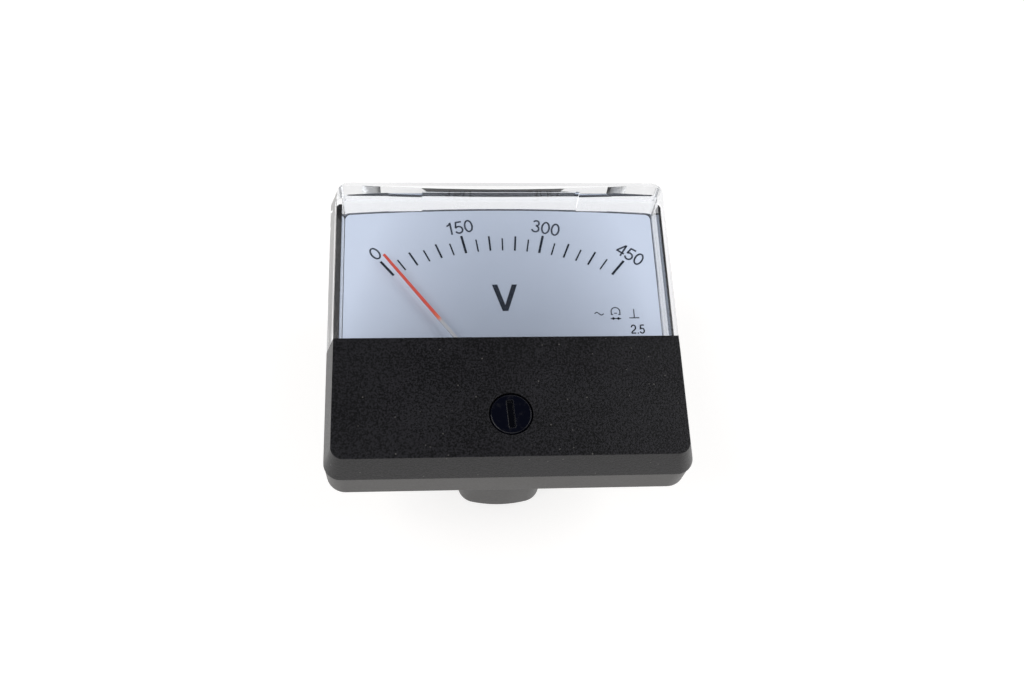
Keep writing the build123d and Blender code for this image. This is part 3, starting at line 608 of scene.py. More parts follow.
@dataclass(frozen=True)
class WoundWire(Finish):
    """A coil of fine enamelled wire, turn beside turn."""

    bright: Colour
    gap: Colour
    wire_mm: float = 0.09
    roughness: float = 0.34

    def surface(self, graph: ShaderGraph) -> Socket:
        """Round turns side by side across the coil, with a coat of varnish and painted shade in the grooves
        between turns.

        Args:
            graph: The material's node tree.

        Returns:
            The surface shader.
        """
        x, y = graph.axes()
        wire = ((x - y) * (math.pi / (self.wire_mm * MM))).sine().size()
        patch = graph.noise(grain_mm=0.8, detail=3.0)
        # The gap colour is painted shade: darker colour in the grooves between turns.
        return graph.principled(
            Base_Color=graph.mix(wire * 0.7 + 0.3 * patch, self.gap, self.bright),
            Metallic=0.6 + 0.3 * wire,
            Roughness=self.roughness + patch.swing(0.2),
            Normal=graph.bump(wire, self.wire_mm / 2, strength=0.7),
        )


@dataclass(frozen=True)
class Laminate(Finish):
    """Brown paper laminate with its fibres."""

    base: Colour
    fibre: Colour
    roughness: float = 0.45

    def surface(self, graph: ShaderGraph) -> Socket:
        """Fibres along one way under a resin surface.

        Args:
            graph: The material's node tree.

        Returns:
            The surface shader.
        """
        fibres = graph.noise(grain_mm=0.25, detail=4.0, rough=0.7, place=graph.stretched((0.12, 1.0, 1.0)))
        return graph.principled(
            Base_Color=graph.mix(graph.ranged(fibres, 0.35, 0.7), self.base, self.fibre),
            Roughness=self.roughness + fibres.swing(0.2),
            Normal=graph.bump(fibres, depth_mm=0.01, strength=0.6),
        )


@dataclass(frozen=True)
class Lacquer(Finish):
    """Dipped lacquer or extruded insulation, slightly uneven."""

    base: Colour
    shade: Colour
    roughness: float

    def surface(self, graph: ShaderGraph) -> Socket:
        """Runs and pools in the coat.

        Args:
            graph: The material's node tree.

        Returns:
            The surface shader.
        """
        runs = graph.noise(grain_mm=1.1, detail=3.0)
        fine = graph.noise(grain_mm=0.2)
        return graph.principled(
            Base_Color=graph.mix(graph.ranged(runs, 0.3, 0.7), self.base, self.shade),
            Roughness=self.roughness + fine.swing(0.15),
            Normal=graph.bump(0.7 * runs + 0.3 * fine, depth_mm=0.02, strength=0.5),
        )


@dataclass(frozen=True)
class FloorPaper(Finish):
    """White paper sweep under the object."""

    base: Colour = (0.42, 0.405, 0.39)
    fibre: Colour = (0.45, 0.44, 0.425)
    lift: float = 0.70

    def surface(self, graph: ShaderGraph) -> Socket:
        """Matt paper that the camera, gloss and clear parts see as white, with the shadow kept.

        Args:
            graph: The material's node tree.

        Returns:
            The surface shader.
        """
        tone = graph.mix(graph.noise(grain_mm=40.0) * 0.5, self.base, self.fibre)
        paper = graph.add("ShaderNodeBsdfDiffuse", None, {"Color": tone})
        seen = graph.rays("Is Camera Ray", "Is Glossy Ray", "Is Transmission Ray")
        glow = graph.add("ShaderNodeEmission", None, {"Color": WHITE, "Strength": seen * self.lift})
        return graph.add("ShaderNodeAddShader", None, {0: paper, 1: glow}).outputs[0]


PIVOT = (0.33, -10.2)
SCREW_CENTRE = (0.0, -15.4)

CLEAR = ClearPlastic("clear_styrene")
# The mask's pale dots are painted glints.
MASK_BLACK = MouldedPlastic(
    "spark_black",
    dark=(0.0003, 0.0003, 0.0005),
    light=(0.0115, 0.011, 0.0135),
    roughness=0.36,
    grain_mm=0.26,
    grain_depth_mm=0.045,
    spread=0.09,
    edge_mm=0.1,
    index=1.36,
    painted_glint=(0.09, 0.085, 0.08),
)
BASE_BLACK = MouldedPlastic(
    "satin_black",
    dark=(0.011, 0.0095, 0.0085),
    light=(0.022, 0.0195, 0.0175),
    roughness=0.38,
    grain_mm=0.35,
    grain_depth_mm=0.012,
    spread=0.2,
    edge_mm=0.14,
)
SCREW_BLACK = GlossPlastic(
    "screw_black", dark=(0.0005, 0.0008, 0.0040), light=(0.003, 0.003, 0.006), centre=SCREW_CENTRE
)
# The dial's shade colour is painted shade, darkest round its middle point.
DIAL_WHITE = EnamelWithPaintedShade(
    "dial_enamel",
    base=(0.75, 0.815, 0.93),
    shade=(0.44, 0.485, 0.565),
    fleck=(0.40, 0.42, 0.45),
    middle=(0.0, -1.0),
    reach=(22.5, 34.0),
)
DIAL_INK = Ink("print_ink", full=(0.004, 0.007, 0.015), thin=(0.013, 0.020, 0.034))
THIN_INK = Ink("thin_ink", full=(0.030, 0.040, 0.058), thin=(0.070, 0.085, 0.115))
NEEDLE_PAINT = NeedlePaint(
    "needle_paint",
    tip=(0.68, 0.07, 0.05),
    root=(0.50, 0.50, 0.51),
    seam=(0.78, 0.17, 0.08),
    pivot=PIVOT,
    direction_deg=127.3,
    seam_mm=15.2,
)
BRASS = Metal("turned_brass", (0.80, 0.60, 0.28), (0.50, 0.34, 0.14), Working.TURNED, 0.26)
BRASS_SHEET = Metal("brass_sheet", (0.80, 0.61, 0.30), (0.52, 0.37, 0.17), Working.ROLLED, 0.28)
NICKEL = Metal("nickel_plate", (0.72, 0.71, 0.68), (0.45, 0.43, 0.40), Working.TURNED, 0.24)
ZINC_STEEL = Metal("zinc_steel", (0.86, 0.87, 0.89), (0.70, 0.69, 0.66), Working.TURNED, 0.42)
SOFT_IRON = Metal("pole_iron", (0.40, 0.40, 0.41), (0.26, 0.24, 0.22), Working.ROLLED, 0.4)
MAGNET_ALLOY = Metal("cast_magnet", (0.22, 0.22, 0.23), (0.13, 0.12, 0.12), Working.GROUND, 0.5)
ALUMINIUM = Metal("aluminium_foil", (0.80, 0.80, 0.82), (0.62, 0.62, 0.64), Working.ROLLED, 0.32)
SPRING_BRONZE = Metal("spring_bronze", (0.78, 0.46, 0.26), (0.5, 0.28, 0.15), Working.ROLLED, 0.25)
# Its gap colour is painted shade in the grooves of the winding.
COIL_WIRE = WoundWire("coil_wire", (0.72, 0.30, 0.14), (0.16, 0.05, 0.02))
BOARD = Laminate("board_laminate", (0.34, 0.20, 0.08), (0.46, 0.30, 0.14))
DIODE_BLACK = Lacquer("diode_black", (0.012, 0.012, 0.012), (0.03, 0.03, 0.03), 0.34)
RESISTOR_BLUE = Lacquer("blue_lacquer", (0.10, 0.28, 0.48), (0.14, 0.36, 0.58), 0.28)
LEAD_RED = Lacquer("red_insulation", (0.46, 0.03, 0.02), (0.56, 0.05, 0.03), 0.4)


def placed(name: str, data: bpy.types.ID) -> bpy.types.Object:
    """Puts an object into the scene.

    Args:
        name: The object's name.
        data: Its mesh, curve, lamp or camera.

    Returns:
        The object.
    """
    made = bpy.data.objects.new(name, data)
    bpy.context.scene.collection.objects.link(made)
    return made


def new_piece(name: str, mesh: bpy.types.Mesh, body: str) -> bpy.types.Object:
    """Makes a finished piece of a mesh.

    Args:
        name: The piece's name.
        mesh: Its mesh, in place in the row frame, with its material.
        body: The CAD body that it rides on.

    Returns:
        The piece.
    """
    piece = placed(name, mesh)
    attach(piece, body)
    LOG.info("%s: %d faces on %s", name, len(mesh.polygons), body)
    return piece


class GeometryTree(Graph):
    """A Geometry Nodes tree under construction, with named inputs for its sizes and its finish."""

    def __init__(self, name: str, sizes: dict[str, str]) -> None:
        """Makes the tree, its geometry sockets and its named inputs.

        Args:
            name: The tree's name.
            sizes: The type of each size, such as Float or Int.
        """
        super().__init__(bpy.data.node_groups.new(name, "GeometryNodeTree"))
        face = self.tree.interface
        for label, kind in {"Geometry": "Geometry", **sizes, "Finish": "Material"}.items():
            face.new_socket(name=label, in_out="INPUT", socket_type="NodeSocket" + kind)
        face.new_socket(name="Geometry", in_out="OUTPUT", socket_type="NodeSocketGeometry")
        self.start = self.add("NodeGroupInput")

    def given(self, name: str) -> Number:
        """A named input as a number."""
        return self.number(self.start, name)

    def close(self, geometry: bpy.types.Node) -> None:
        """Realizes what is instanced, sets the material and ends the tree.

        Args:
            geometry: The node that gives what the tree has built.
        """
        real = self.add("GeometryNodeRealizeInstances", None, {0: geometry})
        finish = {"Geometry": real, "Material": self.start.outputs["Finish"]}
        self.add("NodeGroupOutput", None, {0: self.add("GeometryNodeSetMaterial", None, finish)})

    def mesh(self, source: bpy.types.ID, name: str, values: dict[str, Any]) -> bpy.types.Mesh:
        """Runs the tree on a mesh or a curve.

        Args:
            source: The mesh or curve that the tree starts from.
            name: The new mesh's name.
            values: The named inputs' values.

        Returns:
            The plain mesh that results, with the finish as its one material.
        """
        holder = placed(name + "_source", source)
        modifier = holder.modifiers.new("build", "NODES")
        modifier.node_group = self.tree
        for item in self.tree.interface.items_tree:
            if item.in_out == "INPUT" and item.name in values:
                modifier[item.identifier] = values[item.name]
        depsgraph = bpy.context.evaluated_depsgraph_get()
        made = bpy.data.meshes.new_from_object(holder.evaluated_get(depsgraph))
        made.name = name
        if made.materials[0] is None:  # realized copies bring an empty slot in front
            made.materials.pop(index=0)
        bpy.data.objects.remove(holder)
        return made


def points_mesh(places: Sequence[Point], z_mm: float) -> bpy.types.Mesh:
    """A mesh of bare points, on which Geometry Nodes place copies.

    Args:
        places: The points, in mm.
        z_mm: Their height.

    Returns:
        The mesh.
    """
    made = bpy.data.meshes.new("places")
    made.from_pydata([(x * MM, y * MM, z_mm * MM) for x, y in places], [], [])
    return made


class ThreadTree(GeometryTree):
    """Threaded rods that hang down from points."""

    whole_turns: float = 64.0
    flank_slope: float = 1.25
    crest_share: float = 0.1
    merge_reach: float = 1e-6

    def __init__(self) -> None:
        """Builds the tree: a grid rolled into a rod, with a helical ridge and tapered, capped ends."""
        lengths = dict.fromkeys(("Radius", "Depth", "Pitch", "Length"), "Float")
        super().__init__("threaded_rods", {**lengths, "Around": "Int", "Rows": "Int"})
        outer, depth, pitch, length = (self.given(name) for name in lengths)
        around = self.given("Around")
        core = outer - depth
        grid = self.add(
            "GeometryNodeMeshGrid",
            None,
            {"Size X": 1.0, "Size Y": 1.0, "Vertices X": around, "Vertices Y": self.given("Rows")},
        )
        spot = self.add("ShaderNodeSeparateXYZ", None, {0: self.add("GeometryNodeInputPosition")})
        turn = self.number(spot, 0) + 0.5
        down = (0.5 - self.number(spot, 1)) * length
        phase = (down / pitch - turn + self.whole_turns).part()
        flank = ((phase - 0.5).size() * 2.0 * self.flank_slope - self.crest_share).held()
        radius = (outer - depth * flank).least(core + (length - down)).least(core + down)
        angle = turn * TURN
        rolled = self.add(
            "ShaderNodeCombineXYZ",
            None,
            {0: radius * angle.cosine(), 1: radius * angle.sine(), 2: 0.0 - down},
        )
        rod = self.add("GeometryNodeSetPosition", None, {"Geometry": grid, "Position": rolled})
        rim = {"Vertices": around - 1.0, "Radius": core}
        cap = self.add("GeometryNodeMeshCircle", {"fill_type": "NGON"}, rim)
        drop = self.add("ShaderNodeCombineXYZ", None, {2: 0.0 - length})
        low_cap = self.add("GeometryNodeTransform", None, {"Geometry": cap, "Translation": drop})
        low_cap = self.add("GeometryNodeFlipFaces", None, {0: low_cap})
        joined = self.add("GeometryNodeJoinGeometry")
        for part in (cap, low_cap, rod):
            self.plug(joined.inputs[0], part)
        merge = {"Geometry": joined, "Distance": self.merge_reach}
        closed = self.add("GeometryNodeMergeByDistance", None, merge)
        copies = {"Points": self.start, "Instance": closed}
        self.close(self.add("GeometryNodeInstanceOnPoints", None, copies))


class CopyTree(GeometryTree):
    """Copies of one object's mesh at points."""

    def __init__(self) -> None:
        """Builds the tree: one instance at each point, each turned further than the one before it."""
        super().__init__("copies", {"Model": "Object", "Turn": "Float"})
        model = self.add("GeometryNodeObjectInfo", None, {"Object": self.start.outputs["Model"]})
        order = self.number(self.add("GeometryNodeInputIndex"))
        turned = self.add("ShaderNodeCombineXYZ", None, {2: order * self.given("Turn")})
        copies = {"Points": self.start, "Instance": model.outputs["Geometry"], "Rotation": turned}
        self.close(self.add("GeometryNodeInstanceOnPoints", None, copies))

    def laid_out(
        self, model: bpy.types.Mesh, places: Sequence[Point], turn: float, finish: Finish
    ) -> bpy.types.Mesh:
        """One mesh with the model at each place.

        Args:
            model: The mesh to copy, at the origin.
            places: Where the copies go, in mm.
            turn: How far each copy is turned against the one before it, in radians.
            finish: The copies' finish.

        Returns:
            The copies' mesh.
        """
        holder = placed("model", model)
        values = {"Model": holder, "Turn": turn, "Finish": finish.material()}
        made = self.mesh(points_mesh(places, 0.0), model.name, values)
        bpy.data.objects.remove(holder)
        return made


class InkTree(GeometryTree):
    """Printed lines of one width that follow the splines of a flat curve."""

    def __init__(self) -> None:
        """Builds the tree: a thin rectangle swept along each spline."""
        super().__init__("ink_lines", {"Width": "Float", "Height": "Float"})
        upright = self.add("GeometryNodeSetCurveNormal", {"mode": "Z_UP"}, {0: self.start})
        section = self.add(
            "GeometryNodeCurvePrimitiveQuadrilateral",
            {"mode": "RECTANGLE"},
            {"Width": self.given("Width"), "Height": self.given("Height")},
        )
        sweep = {"Curve": upright, "Profile Curve": section, "Fill Caps": True}
        self.close(self.add("GeometryNodeCurveToMesh", None, sweep))


def mesh_of(made: bmesh.types.BMesh, name: str) -> bpy.types.Mesh:
    """Points the normals outward and makes a mesh of what was built.

    Args:
        made: The built shape. It is freed.
        name: The mesh's name.

    Returns:
        The mesh.
    """
    bmesh.ops.recalc_face_normals(made, faces=made.faces)
    mesh = bpy.data.meshes.new(name)
    made.to_mesh(mesh)
    made.free()
    return mesh


def at_angle(size: Any, angle: float) -> float:
    """A size that may be a function of the angle."""
    return size(angle) if callable(size) else size


def turned_mesh(name: str, profile: Profile, closed: bool, around: int = 72) -> bpy.types.Mesh:
    """A shape turned round the z axis.

    Args:
        name: The mesh's name.
        profile: (z, radius) pairs in mm along the section. Either may be a function of the angle.
        closed: Whether the section closes into a ring. Otherwise its two ends are capped.
        around: How many steps one turn has.

    Returns:
        The mesh.
    """
    made = bmesh.new()
    rings = []
    for z, radius in profile:
        ring = []
        for step in range(around):
            angle = TURN * step / around
            reach, height = at_angle(radius, angle) * MM, at_angle(z, angle) * MM
            ring.append(made.verts.new((reach * math.cos(angle), reach * math.sin(angle), height)))
        rings.append(ring)
    pairs = list(zip(rings, rings[1:]))
    if closed:
        pairs.append((rings[-1], rings[0]))
    else:
        made.faces.new(rings[0])
        made.faces.new(rings[-1])
    for upper, lower in pairs:
        for step in range(around):
            after = (step + 1) % around
            made.faces.new((upper[step], upper[after], lower[after], lower[step]))
    return mesh_of(made, name)


def plate_mesh(
    name: str, outlines: Sequence[Sequence[Point]], low_mm: float, high_mm: float, finish: Finish
) -> bpy.types.Mesh:
    """Flat shapes of even thickness.

    Args:
        name: The mesh's name.
        outlines: One outline in mm for each shape.
        low_mm: The height of their lower faces.
        high_mm: The height of their upper faces.
        finish: Their finish.

    Returns:
        The mesh.
    """
    made = bmesh.new()
    for outline in outlines:
        lower, upper = (
            [made.verts.new((x * MM, y * MM, z * MM)) for x, y in outline] for z in (low_mm, high_mm)
        )
        made.faces.new(list(reversed(lower)))
        made.faces.new(upper)
        for i in range(len(outline)):
            j = (i + 1) % len(outline)
            made.faces.new((lower[i], lower[j], upper[j], upper[i]))
    mesh = mesh_of(made, name)
    mesh.materials.append(finish.material())
    return mesh


@dataclass(frozen=True)
class Hexagon:
    """A hexagonal prism with chamfered corners. Sizes are in mm."""

    across_flats: float
    top_z: float
    end_z: float
    rim_share: float = 0.97
    chamfer_slope: float = 0.53

    def rim(self) -> float:
        """Radius of the round face inside the chamfer."""
        return self.across_flats / 2 * self.rim_share

    def reach(self, angle: float) -> float:
        """Distance from the axis to the side at an angle, with a corner on the x axis."""
        step = TURN / 6
        return self.across_flats / 2 / math.cos((angle % step) - step / 2)

    def upper_edge(self, angle: float) -> float:
        """Height at which the upper chamfer meets the side."""
        return self.top_z - (self.reach(angle) - self.rim()) * self.chamfer_slope

    def lower_edge(self, angle: float) -> float:
        """Height at which the lower chamfer meets the side."""
        return self.end_z + (self.reach(angle) - self.rim()) * self.chamfer_slope


def arc(cx: float, cy: float, rx: float, ry: float, start: float, end: float, steps: int) -> list[Point]:
    """Points along an elliptic arc, with its angles in degrees."""
    angles = [math.radians(start + (end - start) * i / steps) for i in range(steps + 1)]
    return [(cx + rx * math.cos(a), cy + ry * math.sin(a)) for a in angles]


@dataclass(frozen=True)
class Glyph:
    """A printed character in a box of height 1: its width, open strokes and closed loops."""

    advance: float
    strokes: Sequence[Sequence[Point]]
    loops: Sequence[Sequence[Point]] = ()


LETTER_GAP = 0.08
GLYPHS = {
    "0": Glyph(0.60, [], [arc(0.28, 0.5, 0.22, 0.45, 0, 345, 23)]),
    "1": Glyph(
        0.56, [[(0.12, 0.74), (0.22, 0.78), (0.30, 0.86), (0.34, 0.95)], [(0.36, 0.99), (0.36, 0.0)]]
    ),
    "2": Glyph(
        0.58,
        [
            arc(0.28, 0.70, 0.21, 0.25, 180, 0, 12)
            + [(0.47, 0.58), (0.40, 0.46), (0.20, 0.28), (0.10, 0.16), (0.06, 0.06)],
            [(0.04, 0.05), (0.51, 0.05)],
        ],
    ),
    "3": Glyph(
        0.60, [arc(0.27, 0.745, 0.175, 0.205, 155, -90, 14), arc(0.27, 0.29, 0.215, 0.245, 90, -160, 16)]
    ),
    "4": Glyph(
        0.60, [[(0.42, 0.0), (0.42, 0.98)], [(0.40, 0.95), (0.06, 0.30)], [(0.03, 0.28), (0.55, 0.28)]]
    ),
    "5": Glyph(
        0.60,
        [
            [(0.49, 0.95), (0.15, 0.95)],
            [(0.155, 0.97), (0.09, 0.47)],
            arc(0.27, 0.315, 0.22, 0.27, 140, -158, 16),
        ],
    ),
    ".": Glyph(0.30, [[(0.09, 0.05), (0.20, 0.05)]]),
}


@dataclass(frozen=True)
class Line:
    """A line of print on the dial: its centre, capital height and stroke in mm, and its turn in degrees."""

    words: str
    centre: Point
    height: float
    stroke: float
    turn: float = 0.0
    squeeze: float = 1.0

    def splines(self) -> Splines:
        """The strokes in place.

        Returns:
            The strokes, each with whether it closes.
        """
        found: Splines = []
        start = -(sum(GLYPHS[letter].advance for letter in self.words) - LETTER_GAP) / 2
        for letter in self.words:
            shape = GLYPHS[letter]
            for closed, strokes in ((False, shape.strokes), (True, shape.loops)):
                for stroke in strokes:
                    found.append(([self._spot(x + start, y - 0.5) for x, y in stroke], closed))
            start += shape.advance
        return found

    def _spot(self, x: float, y: float) -> Point:
        """Puts one point of a glyph on the dial.

        Args:
            x: Its place along the line, in letter heights from the line's centre.
            y: Its place across the line, likewise.

        Returns:
            The point in mm.
        """
        angle = math.radians(self.turn)
        x, y = x * self.height * self.squeeze, y * self.height
        return (
            self.centre[0] + x * math.cos(angle) - y * math.sin(angle),
            self.centre[1] + x * math.sin(angle) + y * math.cos(angle),
        )


def flat_curve(name: str, splines: Splines, z_mm: float) -> bpy.types.Curve:
    """A curve of straight-run splines at one height.

    Args:
        name: The curve's name.
        splines: Points in mm for each spline, with whether it closes.
        z_mm: The height.

    Returns:
        The curve.
    """
    made = bpy.data.curves.new(name, "CURVE")
    made.dimensions = "3D"
    for points, closed in splines:
        spline = made.splines.new("POLY")
        spline.points.add(len(points) - 1)
        for spot, (x, y) in zip(spline.points, points):
            spot.co = (x * MM, y * MM, z_mm * MM, 1.0)
        spline.use_cyclic_u = closed
    return made


@dataclass
class DialPrint:
    """What is printed on the dial beside its scale marks. Sizes are in mm."""

    low_z: float = 3.1
    high_z: float = 3.13
    numerals: tuple[Line, ...] = (
        Line("0", (-19.0, 13.20), 2.2, 0.26, 37, 1.17),
        Line("150", (-6.28, 17.74), 2.15, 0.26, 10, 1.17),
        Line("300", (7.04, 17.66), 2.15, 0.26, -12, 1.17),
        Line("450", (19.82, 13.02), 2.15, 0.26, -34, 1.17),
    )
    class_number: Line = Line("2.5", (19.95, 0.34), 1.45, 0.19)
    unit_centre: Point = (0.38, 5.68)
    unit_width: float = 3.75
    unit_height: float = 4.4
    unit_arm: float = 0.7844
    unit_half_foot: float = 0.4144
    unit_notch: float = 0.9805
    symbol_stroke: float = 0.15
    wave_centre: Point = (14.35, 2.92)
    wave_width: float = 1.36
    wave_crest: float = 0.22
    wave_steps: int = 16
    magnet_centre: Point = (16.84, 3.3)
    magnet_reach: Point = (0.65, 0.62)
    magnet_steps: int = 14
    foot_y: float = 2.78
    bars: tuple[tuple[Point, Point], ...] = (
        ((16.11, 2.78), (16.45, 2.78)),  # the magnet's left foot
        ((17.23, 2.78), (17.57, 2.78)),  # the magnet's right foot
        ((16.65, 2.98), (17.03, 2.98)),  # the coil
        ((16.03, 2.1), (17.63, 2.1)),  # the rectifier's wire
        ((19.61, 2.2), (19.61, 3.65)),  # the upright of the mounting sign
        ((18.86, 2.2), (20.36, 2.2)),  # its ground line
    )
    diodes: tuple[Point, ...] = ((16.45, 2.1), (17.21, 2.1))
    diode_reach: Point = (0.3, 0.25)

    def print_lines(self, name: str, splines: Splines, stroke: float, ink: Finish) -> None:
        """Prints a piece that is made of lines of one width.

        Args:
            name: The piece's name.
            splines: The lines, each with whether it closes.
            stroke: Their width.
            ink: Their finish.
        """
        curve = flat_curve(name, splines, (self.low_z + self.high_z) / 2)
        height = self.high_z - self.low_z
        values = {"Width": stroke * MM, "Height": height * MM, "Finish": ink.material()}
        new_piece(name, InkTree().mesh(curve, name, values), "base")

    def print_shapes(self, name: str, outlines: Sequence[Sequence[Point]]) -> None:
        """Prints a piece that is made of filled shapes."""
        mesh = plate_mesh(name, outlines, self.low_z, self.high_z, DIAL_INK)
        new_piece(name, mesh, "base")

    def unit_outline(self) -> list[Point]:
        """Draws the unit's letter.

        Returns:
            Its outline.
        """
        (x, y), half, rise = self.unit_centre, self.unit_width / 2, self.unit_height / 2
        return [
            (x - half, y + rise),
            (x - half + self.unit_arm, y + rise),
            (x, y - rise + self.unit_notch),
            (x + half - self.unit_arm, y + rise),
            (x + half, y + rise),
            (x + self.unit_half_foot, y - rise),
            (x - self.unit_half_foot, y - rise),
        ]

    def symbol_splines(self) -> Splines:
        """Draws the signs for alternating current, moving coil with rectifier, and upright mounting.

        Returns:
            Their lines, each with whether it closes.
        """
        (x, y), width, steps = self.wave_centre, self.wave_width, self.wave_steps
        wave = [
            (x - width / 2 + width * i / steps, y + self.wave_crest * math.sin(TURN * i / steps))
            for i in range(steps + 1)
        ]
        (x, y), (rx, ry) = self.magnet_centre, self.magnet_reach
        bow = arc(x, y, rx, ry, 180, 0, self.magnet_steps)
        magnet = [(x - rx, self.foot_y), (x - rx, y), *bow, (x + rx, self.foot_y)]
        return [(line, False) for line in (wave, magnet, *self.bars)]

    def build(self) -> None:
        """Prints the numerals, the class, the symbols and the unit."""
        numerals = [spline for line in self.numerals for spline in line.splines()]
        sign = self.class_number
        self.print_lines("dial_numerals", numerals, self.numerals[0].stroke, THIN_INK)
        self.print_lines("dial_class", sign.splines(), sign.stroke, DIAL_INK)
        self.print_lines("dial_symbols", self.symbol_splines(), self.symbol_stroke, THIN_INK)
        self.print_shapes("dial_unit", [self.unit_outline()])
        rx, ry = self.diode_reach
        diamonds = [[(x - rx, y), (x, y - ry), (x + rx, y), (x, y + ry)] for x, y in self.diodes]
        self.print_shapes("dial_diode_marks", diamonds)


@dataclass
class FrontCover:
    """The clear window, the black lower cover and the zero screw."""

    def build(self) -> None:
        """Dresses the cover's CAD nodes."""
        CLEAR.dress("window_cover")
        MASK_BLACK.dress("lower_mask")
        SCREW_BLACK.dress("zero_screw")


@dataclass
class Movement:
    """The dial, the needle and the moving-coil works behind the cover."""

    def build(self) -> None:
        """Dresses the CAD nodes inside the meter."""
        DIAL_WHITE.dress("dial_plate")
        DIAL_INK.dress("scale_marks")
        NEEDLE_PAINT.dress("needle")
        BRASS.dress("front_jewel_screw", "front_jewel_nut", "rear_jewel_screw", "rear_jewel_nut")
        BRASS.dress("balance_weights", "needle_stops")
        BRASS_SHEET.dress("core_carrier", "front_bridge", "rear_bridge", "zero_arm", "solder_tags")
        ZINC_STEEL.dress("dial_screws", "movement_screws", "front_bridge_screws", "rear_bridge_screws")
        ZINC_STEEL.dress("board_screws", "front_shaft", "rear_shaft")
        SOFT_IRON.dress("left_pole_piece", "right_pole_piece", "iron_core")
        MAGNET_ALLOY.dress("magnet")
        ALUMINIUM.dress("coil_former")
        COIL_WIRE.dress("coil_winding")
        SPRING_BRONZE.dress("front_hairspring", "rear_hairspring")
        BOARD.dress("rectifier_board")
        DIODE_BLACK.dress("rectifier_diodes")
        RESISTOR_BLUE.dress("series_resistor")
        LEAD_RED.dress("inner_leads")


@dataclass(frozen=True)
class Thread:
    """A screw thread on rods that hang down from some places. Sizes are in mm."""

    places: tuple[Point, ...]
    radius: float
    pitch: float
    top_z: float
    end_z: float
    steps_per_turn: int = 10
    around: int = 33
    depth_share: float = 0.6

    def mesh(self, name: str, finish: Finish) -> bpy.types.Mesh:
        """The threaded rods.

        Args:
            name: The mesh's name.
            finish: The rods' finish.

        Returns:
            One mesh with every rod.
        """
        length = self.top_z - self.end_z
        values = {
            "Radius": self.radius * MM,
            "Depth": self.depth_share * self.pitch * MM,
            "Pitch": self.pitch * MM,
            "Length": length * MM,
            "Around": self.around,
            "Rows": round(length / self.pitch * self.steps_per_turn) + 1,
            "Finish": finish.material(),
        }
        return ThreadTree().mesh(points_mesh(self.places, self.top_z), name, values)


@dataclass
class Terminals:
    """The two terminals, with their hexagon heads, washers and nuts. Sizes are in mm."""

    places: tuple[Point, ...] = ((-12.0, 0.0), (12.0, 0.0))
    head: Hexagon = Hexagon(6.0, -6.9, -8.1)
    nut: Hexagon = Hexagon(7.0, -11.5, -13.9)
    radius: float = 2.0
    end_z: float = -19.6
    pitch: float = 0.7
    groove_radius: float = 1.7
    groove_top_z: float = -13.9
    groove_end_z: float = -14.6
    washer_radius: float = 4.4
    washer_top_z: float = -11.0
    washer_chamfer: float = 0.1
    bore_gap: float = 0.02
    bore_lip: float = 0.25
    nut_turn_deg: float = 17.0

    def shank_profile(self) -> Profile:
        """The head and the plain part of the stud, down to the thread.

        Returns:
            Their section.
        """
        return [
            (self.head.top_z, self.head.rim()),
            (self.head.upper_edge, self.head.reach),
            (self.head.end_z, self.head.reach),
            (self.head.end_z, self.radius),
            (self.groove_top_z, self.radius),
            (self.groove_top_z, self.groove_radius),
            (self.groove_end_z, self.groove_radius),
        ]

    def washer_profile(self) -> Profile:
        """The washer, with a small chamfer on both outer edges.

        Returns:
            Its section.
        """
        top, end, cut = self.washer_top_z, self.nut.top_z, self.washer_chamfer
        bore, rim = self.radius + self.bore_gap, self.washer_radius
        return [
            (top, bore),
            (top, rim - cut),
            (top - cut, rim),
            (end + cut, rim),
            (end, rim - cut),
            (end, bore),
        ]

    def nut_profile(self) -> Profile:
        """The nut, with chamfered corners and a countersunk bore.

        Returns:
            Its section.
        """
        nut, lip, bore = self.nut, self.bore_lip, self.radius + self.bore_gap
        return [
            (nut.top_z - lip, bore),
            (nut.top_z, bore + lip),
            (nut.top_z, nut.rim()),
            (nut.upper_edge, nut.reach),
            (nut.lower_edge, nut.reach),
            (nut.end_z, nut.rim()),
            (nut.end_z, bore + lip),
            (nut.end_z + lip, bore),
        ]

    def copies(self, name: str, profile: Profile, closed: bool, finish: Finish) -> bpy.types.Mesh:
        """One turned shape for each terminal, the second turned a little against the first."""
        turn = math.radians(self.nut_turn_deg)
        return CopyTree().laid_out(turned_mesh(name, profile, closed), self.places, turn, finish)

    def build(self) -> None:
        """Builds the terminals over their CAD nodes."""
        shanks = self.copies("shank", self.shank_profile(), False, NICKEL)
        thread = Thread(self.places, self.radius, self.pitch, self.groove_end_z, self.end_z)
        threads = thread.mesh("threads", NICKEL)
        washers = self.copies("washer", self.washer_profile(), True, NICKEL)
        nuts = self.copies("nut", self.nut_profile(), True, BRASS)
        for name, mesh, node in (
            ("terminal_shanks", shanks, "terminal_studs"),
            ("terminal_threads", threads, "terminal_studs"),
            ("terminal_plain_washers", washers, "terminal_washers"),
            ("terminal_hex_nuts", nuts, "terminal_nuts"),
        ):
            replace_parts(new_piece(name, mesh, "base"), node)


